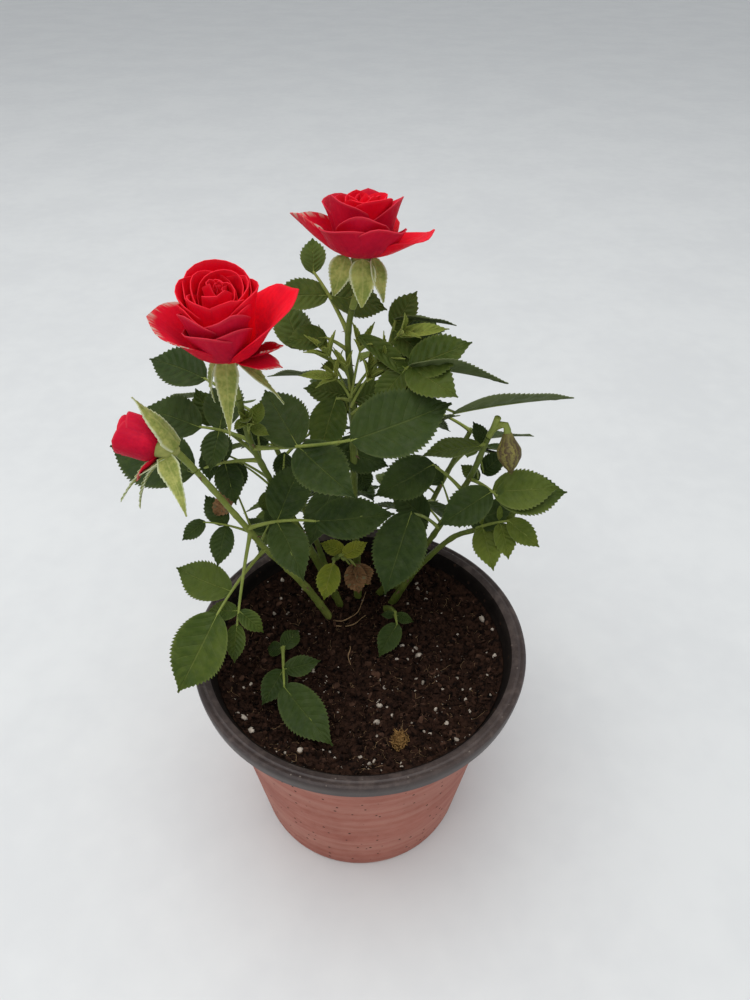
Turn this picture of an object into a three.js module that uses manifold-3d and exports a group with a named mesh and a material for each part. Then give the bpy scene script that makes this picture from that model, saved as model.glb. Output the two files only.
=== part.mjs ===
// A miniature rose bush in its nursery pot, in millimetres. +Z is up, and the origin is the centre of the
// pot's underside. +X is the plant's right hand and -Y its front.
import * as THREE from 'three';
import { mergeVertices } from 'three/addons/utils/BufferGeometryUtils.js';
import Module from 'manifold-3d';

const wasm = await Module();
wasm.setup();

// Pot
const POT_HEIGHT = 104;
const RIM_RADIUS = 69.5;
const LIP_WIDTH = 6;
const LIP_THICKNESS = 1.6;
const SKIRT_DROP = 7;
const SKIRT_THICKNESS = 1.3;
const SKIRT_DRAFT = 0.7;
const NECK_RADIUS = 59.9;
const NECK_DROP = 16;
const RIM_EASE = 1;
const BASE_RADIUS = 48;
const BASE_BEVEL = 1.5;
const WALL = 1.2;
const FLOOR = 1.8;
const POT_SIDES = 36;
const DRAIN_HOLES = 6;
const DRAIN_RADIUS = 4;
const DRAIN_CIRCLE = 36;

// Potting mix: the height of its top from the pot's wall inwards, as [share of the radius, height]
const SOIL_LEVEL = 88;
const SOIL_DISH = [[1, 96], [0.9, 92], [0.8, 88.6], [0.74, 87.2], [0.4, 86], [0, 86]];
const BUMP_REACH = 0.7;
const BUMP_HEIGHT = 0.8;
const MOUND_RADIUS = 4;
const MOUND_SPREAD = 1.5;
const MOUND_HEIGHT = 6;

// Clearance between two pieces that would touch, and the detail too small to keep where pieces are joined
const GAP = 0.3;
const SMOOTHING = 0.09;

// Canes, stalks and leaves. A pair of leaflets is its place on the stalk, the angles at which its right and
// left leaflet spread, and their lengths against the end leaflet's.
const CANE_RADIUS = 1.8;
const TWIG_RADIUS = 1.15;
const RACHIS_RADII = [1, 0.6];
const STEM_STEP = 12;
const LIMB_STEP = 9;
const STEM_SWELL = 1.2;
const BOUGH_TAPER = 0.9;
const CLEAR_FROM = 0.25;
const PAIR = [0.52, 66, 66, 0.86, 0.86];
const LEAF_THICKNESS = 0.7;
const LEAF_SLENDER = 0.6;

// Blooms
const SEPAL_FOOT = [2.4, 5];
const PETAL_THICKNESS = 0.6;
const PETAL_ROOM = 5;
const PETAL_STEPS = 12;
const GOLDEN_ANGLE = 137.5;

const DEGREE = Math.PI / 180;
const UP = new THREE.Vector3(0, 0, 1);

const COLOURS = {
  pot: { color: 0x96544a, roughness: 0.6 },
  soil: { color: 0x2b2019, roughness: 1 },
  cane: { color: 0x6c7c3a, roughness: 0.55 },
  leaf: { color: 0x3d5230, roughness: 0.6 },
  petal: { color: 0xb5122c, roughness: 0.6 },
  calyx: { color: 0x7c7a3c, roughness: 0.6 },
};

// Repeatable random numbers from 0 to 1.
function randomFrom(seed) {
  let state = seed >>> 0;
  return () => {
    state = (state + 0x6d2b79f5) >>> 0;
    let t = state;
    t = Math.imul(t ^ (t >>> 15), t | 1);
    t ^= t + Math.imul(t ^ (t >>> 7), t | 61);
    return ((t ^ (t >>> 14)) >>> 0) / 4294967296;
  };
}

// The unit direction at an azimuth from +X round to +Y and a rise above the horizontal, in degrees.
function heading(azimuth, rise) {
  const flat = Math.cos(rise * DEGREE);
  return new THREE.Vector3(
    flat * Math.cos(azimuth * DEGREE),
    flat * Math.sin(azimuth * DEGREE),
    Math.sin(rise * DEGREE),
  );
}

// A closed geometry as a solid that can be joined and cut, with its faces turned out.
function solid(geometry) {
  const bare = new THREE.BufferGeometry();
  bare.setAttribute('position', geometry.getAttribute('position'));
  bare.setIndex(geometry.getIndex());
  const merged = mergeVertices(bare, 1e-4);
  const index = merged.getIndex().array;
  const triangles = [];
  for (let i = 0; i < index.length; i += 3) {
    const [a, b, c] = [index[i], index[i + 1], index[i + 2]];
    if (a !== b && b !== c && c !== a) {
      triangles.push(a, b, c);
    }
  }
  const vertProperties = new Float32Array(merged.getAttribute('position').array);
  const wrap = (triVerts) => new wasm.Manifold(new wasm.Mesh({ numProp: 3, vertProperties, triVerts }));
  const body = wrap(new Uint32Array(triangles));
  return body.volume() > 0 ? body : wrap(new Uint32Array(triangles.reverse()));
}

// Joins solids and keeps the one outer body: sealed hollows are filled and loose scraps dropped.
function join(solids, smoothing = 0) {
  const union = solids.reduce((sum, next) => sum.add(next));
  const joined = smoothing > 0 ? union.simplify(smoothing) : union;
  const bodies = joined.decompose();
  return bodies.reduce((best, next) => (next.volume() > best.volume() ? next : best));
}

function meshOf(name, body, finish) {
  const { vertProperties, triVerts } = body.getMesh();
  const geometry = new THREE.BufferGeometry();
  geometry.setAttribute('position', new THREE.BufferAttribute(new Float32Array(vertProperties), 3));
  geometry.setIndex(new THREE.BufferAttribute(new Uint32Array(triVerts), 1));
  geometry.computeVertexNormals();
  const material = new THREE.MeshStandardMaterial({ ...COLOURS[finish], metalness: 0 });
  const mesh = new THREE.Mesh(geometry, material);
  mesh.name = name;
  return mesh;
}

// Moves every point of a geometry by a function that changes the point in place.
function reshape(geometry, move) {
  const position = geometry.getAttribute('position');
  const point = new THREE.Vector3();
  for (let i = 0; i < position.count; i += 1) {
    point.fromBufferAttribute(position, i);
    move(point);
    position.setXYZ(i, point.x, point.y, point.z);
  }
  return geometry;
}

// A round shoot that tapers along a curve, from one fraction of its length to another.
function shoot(curve, from, to, radii, sides, steps, flatFoot = false) {
  const chord = curve.getPointAt(to).sub(curve.getPointAt(from)).normalize();
  const across = Math.abs(chord.y) > 0.8 ? UP : new THREE.Vector3(0, 1, 0);
  const tube = new THREE.CylinderGeometry(1, 1, 1, sides, steps);
  return solid(reshape(tube, (point) => {
    const along = point.y + 0.5;
    const radius = radii[0] + (radii[1] - radii[0]) * along;
    const centre = curve.getPointAt(from + (to - from) * along);
    const tangent = curve.getTangentAt(from + (to - from) * along);
    const side = new THREE.Vector3().crossVectors(tangent, across).normalize();
    const front = new THREE.Vector3().crossVectors(side, tangent);
    const [x, z] = [point.x * radius, point.z * radius];
    point.copy(centre).addScaledVector(side, x).addScaledVector(front, z);
    if (flatFoot && along === 0) {
      point.addScaledVector(tangent, (centre.z - point.z) / tangent.z);
    }
  }));
}

// The fraction of a rising curve's length at which it reaches a height.
function fractionAt(curve, height) {
  let [low, high] = [0, 1];
  for (let i = 0; i < 24; i += 1) {
    const middle = (low + high) / 2;
    if (curve.getPointAt(middle).z < height) {
      low = middle;
    } else {
      high = middle;
    }
  }
  return (low + high) / 2;
}

function through(...points) {
  return new THREE.CatmullRomCurve3(points.map(([x, y, z]) => new THREE.Vector3(x, y, z)));
}

// A solid of revolution about +Z from a profile of [radius, height] points.
function turned(profile, sides) {
  const points = profile.map(([radius, height]) => new THREE.Vector2(radius, height));
  return new THREE.LatheGeometry(points, sides).rotateX(Math.PI / 2);
}

// The radius inside the pot: a straight taper up to the neck, and a wider one from there to the lip.
function insideRadius(height) {
  const neck = POT_HEIGHT - NECK_DROP;
  if (height <= neck) {
    const share = (height - FLOOR) / (neck - FLOOR);
    return BASE_RADIUS - WALL + (NECK_RADIUS - BASE_RADIUS) * share;
  }
  const atNeck = NECK_RADIUS - WALL;
  return atNeck + ((RIM_RADIUS - LIP_WIDTH - atNeck) * (height - neck)) / NECK_DROP;
}

// The pot is one moulding: tapered wall, flared neck and a lip that turns down as a short skirt.
function makePot() {
  const neck = POT_HEIGHT - NECK_DROP;
  const under = POT_HEIGHT - LIP_THICKNESS;
  const skirt = POT_HEIGHT - SKIRT_DROP;
  const skirtFoot = RIM_RADIUS - SKIRT_DRAFT;
  const shell = solid(turned([
    [0, 0],
    [BASE_RADIUS - BASE_BEVEL, 0],
    [BASE_RADIUS, BASE_BEVEL],
    [NECK_RADIUS, neck],
    [RIM_RADIUS - LIP_WIDTH + WALL / 2, under],
    [RIM_RADIUS - SKIRT_THICKNESS, under],
    [skirtFoot - SKIRT_THICKNESS, skirt],
    [skirtFoot, skirt],
    [RIM_RADIUS, POT_HEIGHT - RIM_EASE],
    [RIM_RADIUS - RIM_EASE, POT_HEIGHT],
    [RIM_RADIUS - LIP_WIDTH, POT_HEIGHT],
    [insideRadius(neck), neck],
    [insideRadius(FLOOR), FLOOR],
    [0, FLOOR],
  ], POT_SIDES));
  const holes = [];
  for (let i = 0; i < DRAIN_HOLES; i += 1) {
    const centre = heading((i * 360) / DRAIN_HOLES, 0).multiplyScalar(DRAIN_CIRCLE);
    const drill = new THREE.CylinderGeometry(DRAIN_RADIUS, DRAIN_RADIUS, 4 * FLOOR, 8);
    holes.push(solid(drill.rotateX(Math.PI / 2).translate(centre.x, centre.y, 0)));
  }
  return holes.reduce((body, hole) => body.subtract(hole), shell);
}

// The potting mix stands highest at the pot's wall, with a low mound round each cane.
function makeSoil(feet) {
  const reach = insideRadius(SOIL_DISH[0][1]) - GAP;
  const rings = SOIL_DISH.map(([share, height]) => [reach * share, height]);
  const side = [FLOOR + GAP, POT_HEIGHT - NECK_DROP].map((height) => [insideRadius(height) - GAP, height]);
  const fill = turned([[0, FLOOR + GAP], ...side, ...rings], POT_SIDES);
  reshape(fill, (point) => {
    if (point.z > FLOOR + 1 && Math.hypot(point.x, point.y) < reach * BUMP_REACH) {
      point.z += 1 + BUMP_HEIGHT * Math.sin(point.x / 7 + 1) * Math.cos(point.y / 9);
    }
  });
  const mounds = feet.map(([x, y]) => {
    const mound = new THREE.CylinderGeometry(MOUND_RADIUS, MOUND_SPREAD * MOUND_RADIUS, MOUND_HEIGHT, 8);
    return solid(mound.rotateX(Math.PI / 2).translate(x, y, SOIL_LEVEL - MOUND_HEIGHT / 2));
  });
  return join([solid(fill), ...mounds]);
}

// A leaf, leaflet or sepal: a thin blade with a midrib, from a narrow foot to a point.
const BLADE_STEPS = [[0, 0.1], [0.2, 0.42], [0.62, 0.45], [1, 0]];

function blade(foot, aim, face, length, width, shape = {}) {
  const { fold = 0.18, curl = 0.1, thickness = LEAF_THICKNESS } = shape;
  const side = new THREE.Vector3().crossVectors(aim, face).normalize();
  const up = new THREE.Vector3().crossVectors(side, aim);
  const steps = BLADE_STEPS.length - 1;
  const cone = new THREE.ConeGeometry(1, 1, 4, steps);
  reshape(cone, (point) => {
    const step = Math.round((point.y + 0.5) * steps);
    const [along, half] = BLADE_STEPS[step];
    const radius = Math.hypot(point.x, point.z) || 1;
    const across = (point.x / radius) * half * width;
    const lift = fold * Math.abs(across) - curl * length * along * along;
    const thick = (point.z / radius) * (thickness / 2) * Math.min(1, half * 4);
    point.set(across, along * length, lift + thick);
  });
  const place = new THREE.Matrix4().makeBasis(side, aim, up).setPosition(foot);
  return solid(cone.applyMatrix4(place));
}

// A compound leaf from its row: [height on the stem, azimuth, rise and length of its stalk,
// azimuth, rise and length of its end leaflet, how it stands]. How it stands may say the bow of its stalk,
// the turn of its end leaflet's face from the light, and its pairs of side leaflets.
function compoundLeaf(stem, row, light, random) {
  const [height, azimuth, rise, reach, endAzimuth, endRise, size, stance = {}] = row;
  const { bow = 0.12, turn = 0, pairs = [PAIR] } = stance;
  const root = stem.getPointAt(fractionAt(stem, height));
  const tip = root.clone().addScaledVector(heading(azimuth, rise), reach);
  const bend = root.clone().lerp(tip, 0.5).addScaledVector(UP, bow * reach);
  const stalk = new THREE.QuadraticBezierCurve3(root, bend, tip);
  const aim = heading(endAzimuth, endRise);
  const face = light.clone().applyAxisAngle(aim, turn * DEGREE);
  const leaflets = [{ foot: tip.clone().addScaledVector(aim, -0.8), aim, face, size, curl: 0.08 }];
  for (const [place, right, left, rightShare, leftShare] of pairs) {
    const foot = stalk.getPoint(place);
    const along = stalk.getTangent(place).lerp(aim, 0.35).normalize();
    const side = new THREE.Vector3().crossVectors(along, light).normalize();
    const up = new THREE.Vector3().crossVectors(side, along);
    for (const [angle, share] of [[right, rightShare], [-left, leftShare]]) {
      const spread = (angle + 12 * (random() - 0.5)) * DEGREE;
      const lift = 0.3 * (random() - 0.6);
      const out = along.clone().multiplyScalar(Math.cos(spread)).addScaledVector(side, Math.sin(spread));
      out.addScaledVector(up, lift).normalize();
      const length = size * share * (0.94 + 0.12 * random());
      leaflets.push({ foot, aim: out, face: light, size: length, curl: 0.1 });
    }
  }
  return { stalk, leaflets: leaflets.filter((leaflet) => leaflet.size > 0) };
}

function leafletSolid({ foot, aim, face, size, curl }, thickness) {
  return blade(foot, aim, face, size, size * LEAF_SLENDER, { curl, thickness });
}

function touches(body, others) {
  return others.some((other) => !body.intersect(other).isEmpty());
}

// The stem of a mass starts a gap above the tip of its limb.
function stemSolid({ stem, start, end }) {
  const from = fractionAt(stem, start) + GAP / stem.getLength();
  const steps = Math.max(2, Math.round((stem.getLength() * (end - from)) / STEM_STEP));
  return shoot(stem, from, end, [TWIG_RADIUS * STEM_SWELL, TWIG_RADIUS], 6, steps);
}

// One mass: compound leaves fused on to its stem. What would touch another piece is left out.
function foliage({ stem, light, leaves }, core, others, seed) {
  const random = randomFrom(seed);
  const grown = [];
  for (const row of leaves) {
    const { stalk, leaflets } = compoundLeaf(stem, row, light, random);
    const rachis = shoot(stalk, 0, 1, RACHIS_RADII, 3, 3);
    const room = shoot(stalk, CLEAR_FROM, 1, RACHIS_RADII.map((radius) => radius + 1.5 * GAP), 3, 2);
    if (!touches(room, [...others, ...grown])) {
      const free = leaflets.filter((leaflet) => {
        const wide = leafletSolid(leaflet, LEAF_THICKNESS + 2 * GAP);
        return !touches(wide, [...others, ...grown]);
      });
      const solids = free.map((leaflet) => leafletSolid(leaflet, LEAF_THICKNESS));
      grown.push(rachis, ...solids);
    }
  }
  return join([core, ...grown], SMOOTHING);
}

// A petal in its bloom's own frame: it leaves the axis at its root, turns up into a cup and rolls out at
// its rim.
function petalPoint(petal, across, along, off) {
  const reach = petal.length * (1 - 0.2 * across * across);
  const step = (reach * along) / PETAL_STEPS;
  let [radius, height, turn] = [petal.root, petal.level, 0];
  for (let i = 0; i < PETAL_STEPS; i += 1) {
    const t = (along * (i + 0.5)) / PETAL_STEPS;
    turn = petal.open + petal.flare * Math.max(0, 1 - t / 0.4) + petal.roll * Math.max(0, (t - 0.6) / 0.4);
    radius += Math.sin(turn * DEGREE) * step;
    height += Math.cos(turn * DEGREE) * step;
  }
  const half = (petal.width / 2) * (0.42 + 0.58 * Math.sin((Math.PI / 2) * Math.min(1, along / 0.62)));
  const angle = petal.azimuth * DEGREE + (half * across) / Math.max(radius, PETAL_ROOM);
  radius -= off * Math.cos(turn * DEGREE);
  return new THREE.Vector3(
    radius * Math.cos(angle),
    radius * Math.sin(angle),
    height + off * Math.sin(turn * DEGREE),
  );
}

function petalSolid(petal) {
  const sheet = new THREE.BoxGeometry(2, 1, PETAL_THICKNESS, 3, 3, 1);
  return solid(reshape(sheet, (point) => {
    point.copy(petalPoint(petal, point.x, point.y + 0.5, point.z));
  }));
}

// Petals stand in a spiral by the golden angle, from the tight heart to the cup.
function petalSpiral({ count, start, lengths, widths, opens, flares, rolls }) {
  const mix = ([from, to], share) => from + (to - from) * share;
  return Array.from({ length: count }, (unused, i) => {
    const share = i / (count - 1);
    return {
      azimuth: start + i * GOLDEN_ANGLE,
      root: mix([0.8, 3], share),
      level: mix([7.5, 5], share),
      length: mix(lengths, share),
      width: mix(widths, share),
      open: mix(opens, share),
      flare: mix(flares, share),
      roll: mix(rolls, share),
    };
  });
}

// The spread petals outside the cup, from rows of [azimuth, opening, length, width, roll].
function guardPetals(rows) {
  return rows.map(([azimuth, open, length, width, roll]) => (
    { azimuth, root: 2.6, level: 5, length, width, open, flare: 88 - open, roll }
  ));
}

// A bloom on its own stalk: hip and heart, sepals and petals in the bloom's frame, with +Z along its axis.
// Sepals are rows of [azimuth, rise, length, width, curl], with a negative curl where they bend in.
function bloom({ curve, from, axis, core, sepals, petals }) {
  const stalk = shoot(curve, from, 1, [TWIG_RADIUS, TWIG_RADIUS * 1.15], 6, 3);
  const place = new THREE.Matrix4().compose(
    curve.getPointAt(1),
    new THREE.Quaternion().setFromUnitVectors(UP, heading(...axis)),
    new THREE.Vector3(1, 1, 1),
  );
  const leaves = sepals.map(([azimuth, rise, length, width, curl = -0.05]) => {
    const foot = heading(azimuth, 0).multiplyScalar(SEPAL_FOOT[0]).setZ(SEPAL_FOOT[1]);
    const aim = heading(azimuth, rise);
    const face = heading(azimuth, rise + 90);
    return blade(foot, aim, face, length, width, { fold: 0.25, curl });
  });
  const parts = join([solid(turned(core, 10)), ...leaves, ...petals.map(petalSolid)]);
  return join([stalk, parts.transform(place.elements)], SMOOTHING);
}

// The canes rise from the soil as curves. Each is a limb up to its leaves, then the stem of a mass, then a
// bloom's stalk.
const canes = {
  left: through(
    [-15, 25, 88], [-26, 15, 122], [-38, 8, 147], [-44, 0, 168], [-54, -10, 198], [-58, -15, 210],
  ),
  rose: through(
    [-10, 32, 88], [-22, 22, 135], [-34, 12, 179], [-38, 5, 201], [-39, -2, 224], [-40, -3, 232],
  ),
  centre: through([-2, 38, 88], [-3, 30, 150], [-3, 22, 207], [-4, 20, 235], [1, 16, 256.5]),
  right: through([8, 40, 88], [27, 25, 133], [41, 12, 181], [47, 8, 205], [50, 6.5, 207], [51, 6, 203.5]),
  right_low: through([14, 34, 88], [24, 26, 118], [38, 18, 145], [45, 14, 152]),
  front: through([-34, 7, 88], [-34, 3, 92.5], [-33.4, 0.4, 95]),
  front_low: through([11, 30, 88], [13.5, 24.5, 94], [15.1, 20.3, 96]),
  back: through([-2, 44, 88], [-4, 55, 140], [6, 62, 205]),
  back_left: through([-14, 42, 88], [-26, 50, 130], [-42, 52, 180]),
  back_right: through([16, 42, 88], [30, 53, 130], [46, 56, 172]),
};
const boughs = {
  upper_right: through([-0.1, 23, 192], [3.5, 20, 201], [7, 17, 211], [10, 19, 231]),
  low: through([-3.9, 31, 125.6], [-8, 24.5, 128.5], [-11.5, 18.2, 131]),
};

const SUNNY = heading(-90, 54);
const SHADED = heading(90, 60);

// How the leaves of a row stand where they differ from a plain leaf.
const ALONE = { pairs: [] };
const EDGE_ON = { turn: -74, pairs: [] };

// The masses of leaves: the stem each grows on, the height where its bare limb ends, the fraction of the stem
// that its leaves keep to, the side its leaves face, and the rows of its compound leaves.
const masses = {
  leaves_left_low: {
    stem: canes.left, limb: 'cane_left', start: 132, end: 0.905, light: SUNNY,
    leaves: [
      [146, -119, -14, 33, -131, -45, 35, { pairs: [[0.7, 84, 60, 0.76, 0]] }],
      [159, -103, -52, 36, -95, -45, 15, { pairs: [[0.86, 80, 60, 0.85, 0.85]] }],
      [159, -175, 20, 18, -144, -22, 11, { pairs: [[0.5, 66, 66, 1.4, 1.5]] }],
      [162, -19, 23, 31, 5, 6, 29, { pairs: [[0.45, 66, 66, 0.85, 0.95]] }],
    ],
  },
  leaves_left_high: {
    stem: canes.rose, limb: 'cane_rose', start: 158, end: 0.925, light: SUNNY,
    leaves: [
      [200, 177, 16, 18, 160, 9, 24, { pairs: [[0.6, 76, 95, 0.95, 0.6]] }],
      [189, 169, -20, 29, 161, 8, 38, { pairs: [[0.5, 60, 110, 0.42, 0.45]] }],
      [218, 139, 10, 18, 156, 8, 24, ALONE],
      [196, -28, 23, 44, 17, 16, 35, { bow: -0.04, pairs: [[0.47, 45, 113, 0.8, 0.82]] }],
      [204, -60, 50, 12, 60, 50, 8],
    ],
  },
  leaves_upper_left: {
    stem: canes.centre, limb: 'cane_centre', start: 187, end: 0.915, light: SUNNY,
    leaves: [
      [206, 180, 10, 6, -112, -45, 23, ALONE],
      [218, 169, 25, 19, 116, 37, 20, ALONE],
      [218, -150, 20, 5, 148, 34, 17, ALONE],
      [234, 136, 45, 23, 94, 40, 14, { pairs: [[0.55, 114, 66, 1.5, 1.4]] }],
      [227, 175, 30, 9, 178, -5, 15, ALONE],
      [214, 170, 62, 14, 160, 55, 9],
    ],
  },
  leaves_upper_right: {
    stem: boughs.upper_right, limb: 'bough_upper_right', start: 207, end: 1, light: SUNNY,
    leaves: [
      [211, -20, 0, 27, 10, 8, 42, EDGE_ON],
      [212, -43, 52, 21, -3, -3, 33, {
        turn: -70, pairs: [[0.95, 30, 8, 0.66, 0.66], [0.85, 140, 140, 0.5, 0.5]],
      }],
      [229, 56, 68, 10, 1, 0, 21, { turn: -60, pairs: [[0.6, 85, 12, 0.8, 0.7]] }],
      [216, 10, 60, 12, 30, 65, 9],
    ],
  },
  leaves_right: {
    stem: canes.right, limb: 'cane_right', start: 128, end: 0.9, light: SUNNY,
    leaves: [
      [197, -139, 3, 3, -175, -4, 22, ALONE],
      [172, 180, 45, 17, -156, -16, 25, ALONE],
      [147, -130, 46, 28, -116, -47, 33, { pairs: [[0.4, 66, 66, 0.6, 0]] }],
      [179, -48, 1, 14, 5, 3, 27, { pairs: [[0.8, 120, 25, 0.8, 0.85]] }],
      [196, 108, 10, 4, 129, 54, 9, ALONE],
    ],
  },
  leaves_right_low: {
    stem: canes.right_low, limb: 'cane_right_low', start: 116, end: 1, light: SUNNY,
    leaves: [
      [150, -16, 32, 18, -34, -21, 16, { pairs: [[0.78, 66, 66, 0.9, 0.7], [0.35, 72, 66, 1.1, 0.7]] }],
    ],
  },
  leaves_low: {
    stem: boughs.low, limb: 'bough_low', start: 127, end: 1, light: SUNNY,
    leaves: [
      [130.6, -109, -20, 3, -109, -43, 16, ALONE],
      [130, 10, 20, 3, 24, 18, 12, ALONE],
      [129.4, -40, -25, 3, -62, -40, 13, ALONE],
    ],
  },
  leaves_front: {
    stem: canes.front, limb: 'cane_front', start: 91.5, end: 1, light: SUNNY,
    leaves: [
      [94.8, -82, 12, 25, -49, -9, 31, {
        pairs: [[0.62, 50, 80, 0.55, 0.5], [0.04, 135, 125, 0.36, 0.45]],
      }],
    ],
  },
  leaves_front_low: {
    stem: canes.front_low, limb: 'cane_front_low', start: 92, end: 1, light: SUNNY,
    leaves: [
      [95.9, -84, 7, 8, -119, -17, 17, { pairs: [[0.2, 80, 75, 0.4, 0.5]] }],
    ],
  },
};

// The back of the plant: leaves set round each cane by the golden angle, from its limb's end to its tip.
const SPRAYS = { back: [112, 5], back_left: [108, 4], back_right: [108, 4] };
for (const [name, [start, count]] of Object.entries(SPRAYS)) {
  const stem = canes[name];
  const random = randomFrom(start + count);
  const top = stem.getPointAt(1).z;
  const leaves = Array.from({ length: count }, (unused, i) => {
    const azimuth = 110 + i * GOLDEN_ANGLE;
    const height = start + 8 + ((top - start - 9) * i) / (count - 1);
    const size = 22 + 8 * random();
    return [height, azimuth, 15 + 20 * random(), 18 + 8 * random(), azimuth, -25 * random(), size];
  });
  masses[`leaves_${name}`] = { stem, limb: `cane_${name}`, start, end: 1, light: SHADED, leaves };
}

// The blooms, each on the last stretch of its cane.
const HEART = [[0, -1.5], [1.4, -1], [3.2, 1.5], [3.7, 4.5], [3, 6], [3, 9], [0, 10]];
const blooms = {
  rose_left: {
    curve: canes.rose, from: 0.93, axis: [-120, 80], core: HEART,
    sepals: [[-90, -62, 21, 8], [-160, -50, 15, 6], [-20, -35, 19, 5], [50, -50, 15, 5], [130, -50, 15, 5]],
    petals: [
      ...petalSpiral({
        count: 8, start: 40, lengths: [21, 28], widths: [16, 34], opens: [-8, 3], flares: [40, 78],
        rolls: [0, 8],
      }),
      ...guardPetals([
        [184, 40, 23, 18, 16], [14, 26, 27, 25, 26], [-22, 86, 15, 8, 10], [-88, 34, 20, 27, -10],
      ]),
    ],
  },
  rose_top: {
    curve: canes.centre, from: 0.92, axis: [90, 80], core: HEART,
    sepals: [[-92, -80, 13, 8], [-150, -60, 12, 7], [-40, -66, 13, 6], [40, -60, 12, 6], [120, -60, 12, 6]],
    petals: [
      ...petalSpiral({
        count: 7, start: 10, lengths: [15, 20], widths: [13, 26], opens: [-4, 20], flares: [40, 66],
        rolls: [0, 10],
      }),
      ...guardPetals([
        [174, 57, 20, 16, 0], [-8, 60, 19, 18, 0], [-118, 46, 17, 24, 16], [-60, 48, 17, 24, 16],
        [80, 46, 19, 26, 16],
      ]),
    ],
  },
  bud_left: {
    curve: canes.left, from: 0.91, axis: [170, 15],
    core: [[0, -1.5], [1.4, -1], [3.2, 1.5], [3.7, 4.5], [4, 6], [4, 12], [0, 13]],
    sepals: [
      [12, 30, 16, 10, -0.4], [80, 30, 15, 7, -0.35],
      [-149, -16, 21, 8], [-165, 6, 15, 5, 0.1], [165, -4, 15, 5, 0.1],
    ],
    petals: petalSpiral({
      count: 4, start: 30, lengths: [13, 15.5], widths: [22, 27], opens: [2, 6], flares: [76, 84],
      rolls: [-12, -12],
    }),
  },
  bud_right: {
    curve: canes.right, from: 0.905, axis: [-60, -72], finish: 'calyx',
    core: [[0, -1], [1.4, -0.6], [2.4, 2], [4, 5.5], [3.9, 8.5], [2.2, 12], [0, 14.5]],
    sepals: [], petals: [],
  },
};

const plant = new THREE.Group();
const standing = [];

function add(name, body, finish) {
  plant.add(meshOf(name, body, finish));
  standing.push(body);
}

add('pot', makePot(), 'pot');
const feet = Object.values(canes).map((curve) => curve.getPointAt(0).toArray());
add('potting_mix', makeSoil(feet), 'soil');
for (const { stem, limb, start } of Object.values(masses)) {
  const foot = stem.getPointAt(0);
  const atSoil = foot.z === SOIL_LEVEL;
  const radius = atSoil ? CANE_RADIUS : TWIG_RADIUS;
  const steps = Math.max(2, Math.round((start - foot.z) / LIMB_STEP));
  const top = fractionAt(stem, start);
  const tip = TWIG_RADIUS * (atSoil ? STEM_SWELL : BOUGH_TAPER);
  add(limb, shoot(stem, 0, top, [radius, tip], 8, steps, atSoil), 'cane');
}
for (const [name, parts] of Object.entries(blooms)) {
  add(name, bloom(parts), parts.finish ?? 'petal');
}
const stems = Object.values(masses).map(stemSolid);
Object.entries(masses).forEach(([name, mass], i) => {
  const others = [...standing, ...stems.filter((other) => other !== stems[i])];
  add(name, foliage(mass, stems[i], others, i + 1), 'leaf');
});

export default plant;
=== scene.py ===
# %% [markdown]
# A miniature rose bush in a 14 cm nursery pot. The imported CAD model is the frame: its pot, canes and
# masses of leaves say where everything is. Here each of them is made again with what the eye looks for,
# such as toothed leaflets, ruffled petals, prickles and crumbly potting mix, all of it as real mesh.

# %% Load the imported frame
import math

import bmesh
import bpy
import numpy as np
from mathutils import Matrix, Quaternion, Vector, noise
from mathutils.bvhtree import BVHTree


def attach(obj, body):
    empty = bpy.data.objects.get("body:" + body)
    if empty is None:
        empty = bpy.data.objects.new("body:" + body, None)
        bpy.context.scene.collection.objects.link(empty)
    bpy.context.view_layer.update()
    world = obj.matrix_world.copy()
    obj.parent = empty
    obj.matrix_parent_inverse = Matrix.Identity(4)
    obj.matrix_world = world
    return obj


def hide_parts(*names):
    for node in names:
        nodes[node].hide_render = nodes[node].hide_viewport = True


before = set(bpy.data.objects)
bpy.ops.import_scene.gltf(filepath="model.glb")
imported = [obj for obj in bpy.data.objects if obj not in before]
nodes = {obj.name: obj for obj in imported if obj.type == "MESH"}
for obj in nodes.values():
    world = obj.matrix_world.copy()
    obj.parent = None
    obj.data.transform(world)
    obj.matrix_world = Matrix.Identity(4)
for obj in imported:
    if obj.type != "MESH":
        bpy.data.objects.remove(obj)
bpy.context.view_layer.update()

MM = 0.001

# %% [markdown]
# The camera comes first, because every later choice is judged through it. The photograph looks down on
# the pot from a little above the plant, with a wide lens. The lens and the angle could be found by eye,
# but fitting the ellipse of the pot's rim is surer, and that is where these numbers come from.

# %% Camera at the photograph's place
CAMERA_PLACE = Vector((5.53, -208.46, 349.66)) * MM
PITCH = math.radians(39.4)
ROLL = math.radians(-0.64)
LENS_LENGTH, SENSOR_WIDTH, NEAREST_SEEN = 27, 36, 0.01

look = Vector((0, math.cos(PITCH), -math.sin(PITCH)))
level = Vector((1, 0, 0))
down = look.cross(level)
right = math.cos(ROLL) * level + math.sin(ROLL) * down
up = math.sin(ROLL) * level - math.cos(ROLL) * down
camera_data = bpy.data.cameras.new("camera")
camera_data.lens = LENS_LENGTH
camera_data.sensor_width = SENSOR_WIDTH
camera_data.clip_start = NEAREST_SEEN
camera = bpy.data.objects.new("camera", camera_data)
camera.matrix_world = Matrix.Translation(CAMERA_PLACE) @ Matrix((right, up, -look)).transposed().to_4x4()
bpy.context.scene.collection.objects.link(camera)
bpy.context.scene.camera = camera
print("camera looks down by", round(math.degrees(PITCH), 1), "degrees")

# %% [markdown]
# Daylight under cloud comes from the whole sky, so shadows are wide and soft. A large panel above the
# left shoulder gives the light its direction, and a pale world fills in the rest. Colours are shown
# without a film look, so that a value chosen in a material is the value that is seen.

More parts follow.
